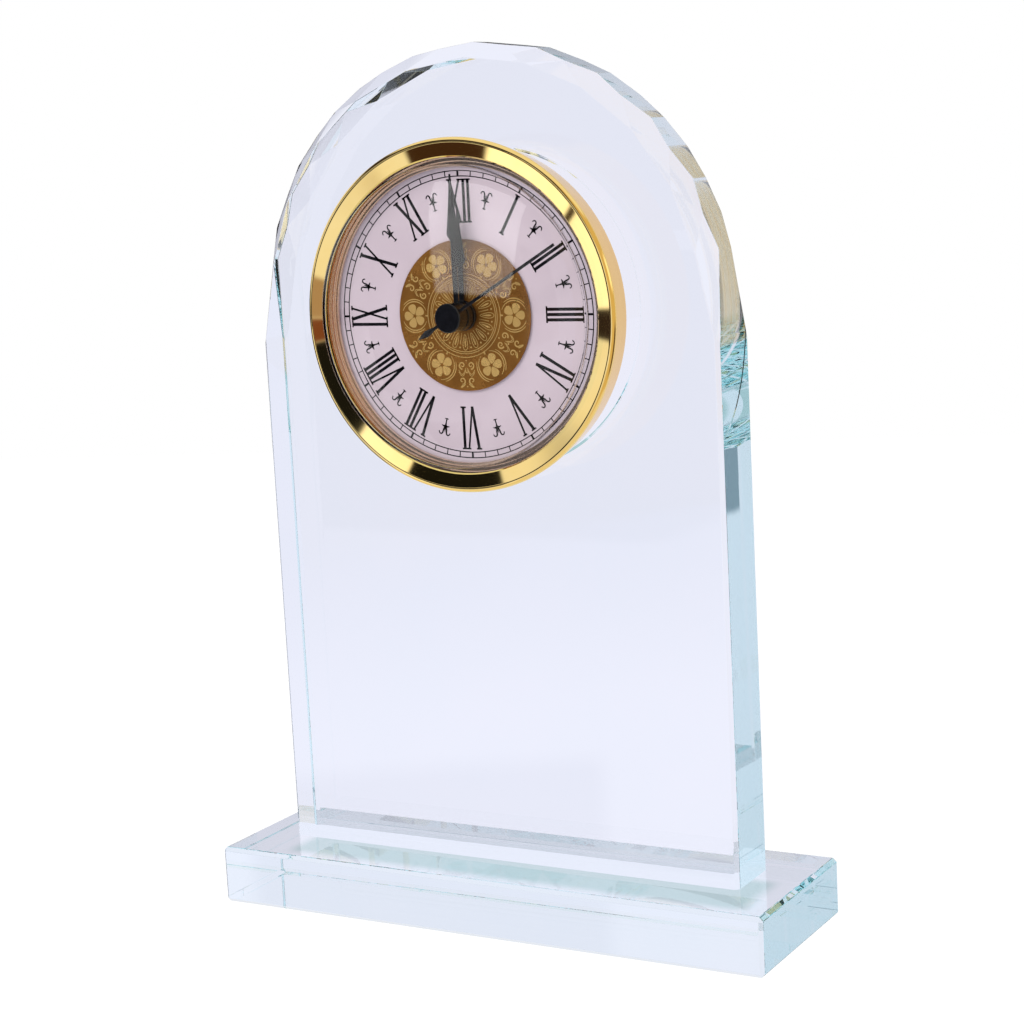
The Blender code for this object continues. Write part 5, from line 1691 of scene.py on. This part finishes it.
@dataclass
class Cover(SubAssembly):
    """The movement's rear cover: a shallow can with a raised rim, two holes and grip ribs."""

    radius: float = 25.0
    wall: float = 1.0
    floor: float = 7.1
    back: float = 8.1
    rim: Pair = (22.8, 23.2)
    rim_height: float = 0.3
    hole_span: Pair = (5.0, 10.0)
    cell_hole: float = 6.1
    knob_hole: float = 1.1
    cell_collar: float = 6.3
    knob_collar: float = 5.5
    collar_width: float = 0.6
    ribs: int = 7
    rib_middle: float = 9.0
    rib_spread: float = 6.0
    rib_reach: float = 9.0
    rib_width: float = 0.5
    rib_height: float = 0.25
    overlap: float = 0.05

    def build(self) -> None:
        """Make the cover and its ribs; its open end lies where the CAD node's does."""
        low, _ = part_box("movement_cover")
        rim = low.y / MM - SLAB_FRONT
        inner = self.radius - self.wall
        face = self.back - self.rim_height
        profile = rounded([(0.0, self.floor, 0.0), (inner, self.floor, 0.2), (inner, rim, 0.0),
                           (self.radius, rim, 0.0), (self.radius, self.back, 0.6),
                           (self.rim[1], self.back, 0.15), (self.rim[0], face, 0.15),
                           (0.0, face, 0.0)], closed=False)
        cover = turned(profile).piece("rear_cover", 30.0)
        combine(cover, [drill(self.cell_hole, *self.hole_span, 96, CELL_PLACE),
                        drill(self.knob_hole, *self.hole_span, 48, KNOB_PLACE)])
        self.shop.take(cover, Slot.CASE, "insert", "movement_cover")
        foot, crest = face - self.overlap, face + self.rib_height
        made = [raised_ring(radius, radius + self.collar_width, foot, crest, 0.12, 96, place)
                for radius, place in ((self.cell_collar, CELL_PLACE), (self.knob_collar, KNOB_PLACE))]
        for offset in np.linspace(-self.rib_spread, self.rib_spread, self.ribs):
            level = self.rib_middle + offset
            path = np.array([(-self.rib_reach, level), (self.rib_reach, level)])
            made.append(ribbon(path, self.rib_width, foot, crest))
        self.shop.take(Shell.joined(made).piece("cover_ribs"), Slot.CASE, "insert")


@dataclass
class Screws(SubAssembly):
    """The three slotted screws with domed heads."""

    shank: float = 1.2
    head: float = 2.4
    crown: float = 1.5
    start: float = -0.3
    seat: float = 6.75
    shoulder: float = 7.75
    back: float = 8.05
    slot_span: Pair = (7.45, 9.0)
    slot_reach: float = 3.0
    slot_width: float = 0.5

    def build(self) -> None:
        """Make the screws."""
        profile = rounded([(0.0, self.start, 0.0), (self.shank, self.start, 0.1),
                           (self.shank, self.seat, 0.0), (self.head, self.seat, 0.0),
                           (self.head, self.shoulder, 0.3), (self.crown, self.back, 0.3),
                           (0.0, self.back, 0.0)], closed=False)
        for number, angle in enumerate(SCREW_ANGLES, 1):
            x, z = screw_place(angle)
            screw = turned(profile, 64, (x, z)).piece("screw_%d" % number, 30.0)
            path = np.array([(x - self.slot_reach, z), (x + self.slot_reach, z)])
            combine(screw, [ribbon(path, self.slot_width, *self.slot_span).piece("slot")])
            self.shop.take(screw, Slot.STEEL, "insert", "case_screw_%d" % number)


@dataclass
class Knob(SubAssembly):
    """The setting knob's fluted grip, a cap over the plain knob."""

    radius: float = 5.4
    front: float = 8.5
    back: float = 12.5
    dish: Pair = (3.6, 3.7)
    dish_floor: float = 12.3
    flutes: int = 28
    flute_steps: int = 8
    flute_depth: float = 0.035
    flute_start: float = 4.3

    def build(self) -> None:
        """Make the grip: beyond one radius, its points follow a cosine of its flutes."""
        steps = self.flutes * self.flute_steps
        angle = np.linspace(0.0, 2.0 * math.pi, steps, endpoint=False)
        cap = turned(rounded([(0.0, self.front, 0.0), (self.radius, self.front, 0.3),
                              (self.radius, self.back, 0.5), (self.dish[1], self.back, 0.25),
                              (self.dish[0], self.dish_floor, 0.1), (0.0, self.dish_floor, 0.0)],
                             closed=False), steps)
        depth = self.flute_depth
        flute = np.tile(1.0 + depth * np.cos(self.flutes * angle) - depth, len(cap.points) // steps + 1)
        radius = np.hypot(cap.points[:, 0], cap.points[:, 2])
        grip = np.where(radius > self.flute_start, flute[:len(radius)], 1.0)
        cap.points[:, 0] = cap.points[:, 0] * grip + KNOB_PLACE[0]
        cap.points[:, 2] = cap.points[:, 2] * grip + KNOB_PLACE[1]
        self.shop.take(cap.piece("knob_grip", 40.0), Slot.WHEEL_PLASTIC, "knob")


@dataclass
class Cell(SubAssembly):
    """The button cell: a can with a rolled edge and a plain dished back."""

    cap: float = 4.9
    radius: float = 5.8
    front: float = 1.1
    cap_back: float = 1.55
    shoulder: float = 2.0
    back: float = 6.5
    dish: Pair = (4.5, 4.7)
    dish_floor: float = 6.35

    def build(self) -> None:
        """Make the cell."""
        profile = rounded([(0.0, self.front, 0.0), (self.cap, self.front, 0.2),
                           (self.cap, self.cap_back, 0.1), (self.radius, self.shoulder, 0.25),
                           (self.radius, self.back, 0.45), (self.dish[1], self.back, 0.15),
                           (self.dish[0], self.dish_floor, 0.15), (0.0, self.dish_floor, 0.0)],
                          closed=False)
        can = turned(profile, 128, CELL_PLACE).piece("cell_can", 30.0)
        self.shop.take(can, Slot.STEEL, "cell", "button_cell")


# The studio


@dataclass
class PhotoCamera:
    """The camera of the photograph: place in millimetres, three angles and a lens."""

    place: tuple[float, float, float] = (292.837, -506.104, 203.338)
    azimuth: float = 29.826
    elevation: float = 9.331
    roll: float = -3.004
    lens: float = 80.16
    sensor: float = 36.0

    def build(self) -> None:
        """Make the camera: its back axis from azimuth and elevation, then rolled about it."""
        azimuth, elevation = math.radians(self.azimuth), math.radians(self.elevation)
        back = np.array([math.sin(azimuth) * math.cos(elevation), -math.cos(azimuth) * math.cos(elevation),
                         math.sin(elevation)])
        right = np.cross([0.0, 0.0, 1.0], back)
        right /= np.linalg.norm(right)
        up = np.cross(back, right)
        turn = math.radians(self.roll)
        right, up = (math.cos(turn) * right + math.sin(turn) * up,
                     -math.sin(turn) * right + math.cos(turn) * up)
        data = bpy.data.cameras.new("photo_camera")
        data.lens, data.sensor_width, data.clip_start = self.lens, self.sensor, 0.01
        camera = bpy.data.objects.new("photo_camera", data)
        matrix = Matrix.Identity(4)
        for column, axis in enumerate((right, up, back)):
            for row in range(3):
                matrix[row][column] = axis[row]
        matrix.translation = Vector(self.place) * MM
        camera.matrix_world = matrix
        bpy.context.scene.collection.objects.link(camera)
        bpy.context.scene.camera = camera


@dataclass(frozen=True)
class Panel:
    """A soft-edged rectangle of one colour.

    In the surroundings it spans directions in degrees: across is the azimuth, 0 towards the
    dial's side and growing to the right of someone facing the dial, and up is the elevation.
    On the floor it spans metres along X and Y.
    """

    across: Pair
    up: Pair
    colour: Colour
    soft: float = 2.0


@dataclass
class Studio:
    """The floor, the surroundings and the lights."""

    mirrored: tuple[Panel, ...] = (
        Panel((-180.0, 180.0), (-90.0, -36.0), (0.84, 0.76, 0.58), 6.0),
        Panel((-180.0, 180.0), (38.0, 90.0), (0.90, 0.86, 0.76), 6.0),
        Panel((8.0, 150.0), (-40.0, 45.0), (0.70, 0.53, 0.26), 6.0),
        Panel((70.0, 142.0), (8.0, 24.0), (1.25, 1.15, 0.95), 7.0),
        Panel((70.0, 142.0), (-32.0, -9.0), (0.16, 0.10, 0.05), 9.0),
        Panel((-118.0, -72.0), (2.0, 26.0), (0.95, 0.92, 0.86), 7.0),
        Panel((-62.0, 12.0), (-40.0, 12.0), (0.94, 0.93, 0.93), 2.5),
        Panel((-24.0, 8.0), (-40.0, -15.0), (0.78, 0.74, 0.70), 2.0),
        Panel((-42.0, -20.5), (-12.5, 4.5), (0.008, 0.008, 0.010), 5.0),
        Panel((-52.0, -36.6), (-24.0, -11.7), (1.45, 1.45, 1.45), 0.5),
        Panel((-52.0, -40.0), (-11.2, -5.0), (1.35, 1.35, 1.35), 0.3),
        Panel((-37.0, -27.8), (-26.0, -15.6), (0.05, 0.025, 0.015), 0.8),
        Panel((-54.0, -42.0), (-11.7, -11.2), (0.05, 0.03, 0.02), 0.3),
        Panel((-54.0, -42.0), (-5.0, -2.9), (0.03, 0.02, 0.02), 0.4),
        Panel((-35.2, -24.5), (6.6, 13.0), (0.01, 0.01, 0.01), 0.5),
        Panel((-24.5, -18.8), (5.0, 12.0), (1.30, 1.30, 1.30), 0.5),
        Panel((-19.2, -8.0), (-2.2, 5.4), (0.01, 0.01, 0.01), 0.5),
        Panel((-19.2, -8.0), (-4.2, -2.2), (0.20, 0.07, 0.04), 0.4),
        Panel((-19.2, -8.0), (-7.7, -4.2), (0.42, 0.30, 0.24), 0.6),
    )
    through: tuple[Panel, ...] = (
        Panel((70.0, 110.0), (-5.0, 50.0), (0.30, 0.38, 0.45), 4.0),
        Panel((-36.0, -13.0), (-9.6, 14.0), (0.26, 0.32, 0.39), 0.8),
    )
    mirrored_ground: Colour = (0.04, 0.03, 0.03)
    through_ground: Colour = (0.880, 0.868, 0.975)
    ambient: Colour = (0.80, 0.80, 0.82)
    white: Colour = (1.0, 1.0, 1.0)
    floor_reach: Pair = (3000.0, 900.0)
    floor_levels: Pair = (-0.15, -2.0)
    floor_turn: float = 18.0
    floor_tint: Colour = (0.891, 0.882, 1.0)
    floor_glow: Colour = (0.93, 0.93, 0.93)
    paper: tuple[Colour, Colour] = ((0.13, 0.13, 0.135), (0.14, 0.14, 0.14))
    paper_scale: float = 3.0
    paper_roughness: float = 0.9
    # Panels over the floor's colour that only the glass shows. The first is a painted shadow, soft and
    # teal, under the slab's foot; the second is a darker blue-grey patch to the front left.
    floor_shadow_and_patch: tuple[Panel, ...] = (
        Panel((-0.068, 0.068), (-0.010, 0.012), (0.50, 0.64, 0.68), 0.006),
        Panel((-1.6, -0.2), (-3.0, -0.495), (0.24, 0.30, 0.37), 0.03),
    )
    wall_place: float = 837.0
    wall_slant: float = 0.96
    fade_start: float = -225.0
    fade_least: float = 8.0
    key_place: Place = (-500.0, -700.0, 800.0)
    key_aim: Place = (0.0, 0.0, 120.0)
    key_size: Pair = (500.0, 500.0)
    key_power: float = 6.0
    box_centre: float = -14.0
    box_middle: Pair = (-18.0, 14.0)
    box_corners: tuple[Pair, ...] = ((-31.7, -3.1), (-23.4, -2.7), (0.0, 30.0), (-34.9, 22.9))
    box_size: Pair = (0.9, 0.9)
    box_distance: float = 1000.0
    box_power: float = 11.0
    box_soft: float = 0.008

    def mask_group(self) -> NodeTree:
        """The mask of one panel: the product of smooth steps across it and up it.

        A step rises over the soft width, half of it outside the nearer of two edges.

        Returns:
            The group, which puts out Mask.
        """
        inputs = {"Across": 0.0, "Up": 0.0, "West": -1.0, "East": 1.0, "Low": -1.0, "High": 1.0,
                  "Soft": 0.1}
        group, source, sink = new_group("panel_mask", inputs, ("Mask",))
        steps = []
        for axis, low, high in (("Across", "West", "East"), ("Up", "Low", "High")):
            inside = math_node(group, "SUBTRACT", source.outputs[axis], source.outputs[low])
            beyond = math_node(group, "SUBTRACT", source.outputs[high], source.outputs[axis])
            nearest = math_node(group, "MINIMUM", inside, beyond)
            ratio = math_node(group, "DIVIDE", nearest, source.outputs["Soft"])
            step = add_node(group, "MapRange", {"interpolation_type": "SMOOTHSTEP"},
                            {"From Min": -0.5, "From Max": 0.5}, {"Value": ratio})
            steps.append(step.outputs[0])
        group.links.new(math_node(group, "MULTIPLY", *steps), sink.inputs["Mask"])
        return group

    def laid(self, tree: NodeTree, mask_group: NodeTree,
             place: tuple[NodeSocket, NodeSocket], ground: Fed,
             panels: tuple[Panel, ...]) -> Fed:
        """Lay panels over a ground colour, the later ones on top.

        Args:
            tree: the node tree.
            mask_group: the group of a panel's mask.
            place: the sockets of the place across and up.
            ground: the colour under them.
            panels: the panels.

        Returns:
            The socket of the colour.
        """
        colour = ground
        for panel in panels:
            (west, east), (low, high) = panel.across, panel.up
            mask = add_node(tree, "Group", {"node_tree": mask_group},
                            {"West": west, "East": east, "Low": low, "High": high, "Soft": panel.soft},
                            {"Across": place[0], "Up": place[1]})
            colour = mixed_colour(tree, mask.outputs["Mask"], colour, panel.colour)
        return colour

    def surroundings(self, mask_group: NodeTree) -> None:
        """What is seen beyond the object: white itself, panels in mirrors, a pale wall through glass.

        Args:
            mask_group: the group of a panel's mask.
        """
        world = bpy.data.worlds.new("studio")
        bpy.context.scene.world = world
        world.use_nodes = True
        tree = world.node_tree
        tree.nodes.clear()
        direction = add_node(tree, "TexCoord").outputs["Generated"]
        split = add_node(tree, "SeparateXYZ", {}, {}, {"Vector": direction})
        to_degrees = 180.0 / math.pi
        back = math_node(tree, "MULTIPLY", split.outputs["Y"], -1.0)
        turn = math_node(tree, "ARCTAN2", split.outputs["X"], back)
        rise = math_node(tree, "ARCSINE", split.outputs["Z"])
        sight = (math_node(tree, "MULTIPLY", turn, to_degrees),
                 math_node(tree, "MULTIPLY", rise, to_degrees))
        light = add_node(tree, "LightPath")
        mirrored = self.laid(tree, mask_group, sight, self.mirrored_ground, self.mirrored)
        through = self.laid(tree, mask_group, sight, self.through_ground, self.through)
        seen = mixed_colour(tree, light.outputs["Is Glossy Ray"], self.ambient, mirrored)
        seen = mixed_colour(tree, light.outputs["Is Transmission Ray"], seen, through)
        seen = mixed_colour(tree, light.outputs["Is Camera Ray"], seen, self.white)
        shader = add_node(tree, "Background", {}, {"Strength": 1.0}, {"Color": seen})
        output = add_node(tree, "OutputWorld", {}, {}, {"Surface": shader.outputs[0]})
        output.is_active_output = True

    def floor_colour(self, tree: NodeTree, mask_group: NodeTree,
                     place: NodeSocket) -> Fed:
        """The floor's colour as the object shows it: a tint that fades to the wall's, a painted shadow
        under the slab, and a darker blue-grey patch.

        With a the way to the slanting wall and b the way from the start of the fade, each at
        least 0, the wall's share is b / (a + b).

        Args:
            tree: the floor's node tree.
            mask_group: the group of a panel's mask.
            place: the socket of the place on it.

        Returns:
            The socket of the colour.
        """
        split = add_node(tree, "SeparateXYZ", {}, {}, {"Vector": place})
        across, back = split.outputs["X"], split.outputs["Y"]
        slant = math_node(tree, "MULTIPLY_ADD", across, self.wall_slant, self.wall_place * MM)
        ahead = math_node(tree, "MAXIMUM", math_node(tree, "SUBTRACT", slant, back), 0.0)
        behind = math_node(tree, "MAXIMUM", math_node(tree, "SUBTRACT", self.fade_start * MM, across),
                           self.fade_least * MM)
        share = math_node(tree, "DIVIDE", behind, math_node(tree, "ADD", ahead, behind))
        fading = mixed_colour(tree, share, self.floor_tint, self.through_ground)
        return self.laid(tree, mask_group, (across, back), fading, self.floor_shadow_and_patch)

    def floor(self, mask_group: NodeTree) -> None:
        """A pale sheet under the clock, its far edge behind the glass; through the glass it shows a
        painted shadow under the slab.

        Args:
            mask_group: the group of a panel's mask.
        """
        wide, deep = self.floor_reach
        corners = np.array([(-wide, -wide), (wide, -wide), (wide, deep), (-wide, deep)])
        turn = math.radians(self.floor_turn)
        flat = corners @ np.array([[math.cos(turn), math.sin(turn)], [-math.sin(turn), math.cos(turn)]])
        points = np.concatenate([np.stack([flat[:, 0], flat[:, 1], np.full(4, level)], axis=-1)
                                 for level in self.floor_levels])
        quads = np.array([(0, 1, 2, 3), (7, 6, 5, 4), (0, 4, 5, 1), (1, 5, 6, 2), (2, 6, 7, 3),
                          (3, 7, 4, 0)])
        sheet = Shell(points, quads).piece("floor", 30.0, clock=False)
        made = bpy.data.materials.new("floor_paper")
        made.use_nodes = True
        tree = made.node_tree
        shader = tree.nodes["Principled BSDF"]
        place = add_node(tree, "TexCoord").outputs["Object"]
        noise = add_node(tree, "TexNoise", {}, {"Scale": self.paper_scale}, {"Vector": place})
        paper = mixed_colour(tree, noise.outputs["Fac"], *self.paper)
        direct = add_node(tree, "LightPath").outputs["Is Camera Ray"]
        base = mixed_colour(tree, direct, (0.0, 0.0, 0.0), paper)
        # Camera rays see an even glow over the lit paper. All other rays see only emission in
        # floor_colour, whose shade under the slab is painted.
        glow = mixed_colour(tree, direct, self.floor_colour(tree, mask_group, place), self.floor_glow)
        tree.links.new(base, shader.inputs["Base Color"])
        tree.links.new(glow, shader.inputs["Emission Color"])
        shader.inputs["Emission Strength"].default_value = 1.0
        shader.inputs["Roughness"].default_value = self.paper_roughness
        shader.inputs["Specular IOR Level"].default_value = 0.0
        sheet.data.materials.append(made)
        sheet.visible_glossy = False

    def area_light(self, name: str, place: Place, aim: Place, size: Pair,
                   power: float) -> Object:
        """A soft rectangular light.

        Args:
            name: the light's name.
            place: where it stands, in millimetres.
            aim: the point that it faces.
            size: its width and height in millimetres.
            power: its power in watts.

        Returns:
            The light.
        """
        data = bpy.data.lights.new(name, "AREA")
        data.shape = "RECTANGLE"
        data.size, data.size_y = size[0] * MM, size[1] * MM
        data.energy = power
        lamp = bpy.data.objects.new(name, data)
        direction = Vector(aim) - Vector(place)
        lamp.rotation_euler = direction.to_track_quat("-Z", "Y").to_euler()
        lamp.location = Vector(place) * MM
        lamp.visible_camera = False
        bpy.context.scene.collection.objects.link(lamp)
        return lamp

    def key_light(self) -> None:
        """The soft key over the left shoulder."""
        key = self.area_light("key", self.key_place, self.key_aim, self.key_size, self.key_power)
        key.visible_glossy = False
        key.visible_transmission = False

    def lens_box(self, lens: Object) -> None:
        """The four-sided box that the lens mirrors: a light masked by its four edges.

        Its plane stands square to its middle direction. A point of it at plane coordinates
        (x, y) shines if it lies inside every edge of the outline.

        Args:
            lens: the only piece that it lights.
        """
        middle = self.direction(*self.box_middle)
        across = np.cross([0.0, 0.0, 1.0], middle)
        across /= np.linalg.norm(across)
        up = np.cross(middle, across)
        outline = []
        for azimuth, elevation in self.box_corners:
            ray = self.direction(azimuth, elevation)
            spot = ray / (ray @ middle)
            outline.append((float(spot @ across), float(spot @ up)))
        wide, tall = self.box_size
        centre = np.array([0.0, SLAB_FRONT + self.box_centre, AXIS_HEIGHT])
        place = centre + middle * self.box_distance
        box = self.area_light("lens_box", tuple(place), tuple(centre),
                              (wide * self.box_distance, tall * self.box_distance), self.box_power)
        box.data.use_nodes = True
        tree = box.data.node_tree
        shape = add_node(tree, "NewGeometry")
        split = add_node(tree, "SeparateXYZ", {}, {}, {"Vector": shape.outputs["Parametric"]})
        mask: Fed = 1.0
        for index, (start_x, start_y) in enumerate(outline):
            end_x, end_y = outline[(index + 1) % len(outline)]
            length = math.hypot(end_x - start_x, end_y - start_y)
            normal_x, normal_y = -(end_y - start_y) / length, (end_x - start_x) / length
            offset = normal_x * (-wide / 2.0 - start_x) + normal_y * (-tall / 2.0 - start_y)
            along = math_node(tree, "MULTIPLY_ADD", split.outputs["X"], normal_x * wide, offset)
            reach = math_node(tree, "MULTIPLY_ADD", split.outputs["Y"], normal_y * tall, along)
            side = add_node(tree, "MapRange", {"interpolation_type": "SMOOTHSTEP"},
                            {"From Min": 0.0, "From Max": self.box_soft}, {"Value": reach})
            mask = math_node(tree, "MULTIPLY", side.outputs[0], mask)
        tree.links.new(mask, tree.nodes["Emission"].inputs["Strength"])
        receivers = bpy.data.collections.new("lens_only")
        receivers.objects.link(lens)
        box.light_linking.receiver_collection = receivers

    @staticmethod
    def direction(azimuth: float, elevation: float) -> np.ndarray:
        """The unit vector of a direction.

        Args:
            azimuth: its azimuth in degrees, 0 towards the dial's side.
            elevation: its angle above the level, in degrees.

        Returns:
            The vector (x, y, z).
        """
        turn, rise = math.radians(azimuth), math.radians(elevation)
        level = math.cos(rise)
        return np.array([math.sin(turn) * level, -math.cos(turn) * level, math.sin(rise)])

    def build(self, lens: Object) -> None:
        """Set up the whole studio.

        Args:
            lens: the lens of the clock.
        """
        mask_group = self.mask_group()
        self.surroundings(mask_group)
        self.floor(mask_group)
        self.key_light()
        self.lens_box(lens)
        scene = bpy.context.scene
        scene.view_settings.view_transform = "Standard"
        scene.cycles.max_bounces = 64
        scene.cycles.transmission_bounces = 32
        scene.cycles.glossy_bounces = 40
        scene.cycles.transparent_max_bounces = 24
        scene.cycles.caustics_reflective = False
        scene.cycles.caustics_refractive = False
        scene.cycles.sample_clamp_indirect = 6.0
        scene.cycles.use_denoising = True
        scene.cycles.denoiser = "OPENIMAGEDENOISE"


def main() -> None:
    """Load the frame, build the clock round it, then the studio, and note the sizes."""
    logging.basicConfig(level=logging.INFO, format="%(name)s: %(message)s")
    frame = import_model()
    shop = Workshop(Finishes())
    for kind in (CrystalStand, Bezel, Lens, Reflector, Dial, Hands, Case, Gasket, Cover, Screws, Knob,
                 Cell):
        kind(shop).build()
    slots = {row["node"]: Slot(row["material_slot"]) for row in frame["record"]["subparts"]}
    for name, node in frame["nodes"].items():
        shop.finishes.dress_node(node, slots[name])
    PhotoCamera().build()
    Studio().build(bpy.data.objects["domed_lens"])


if __name__ == "__main__":
    main()
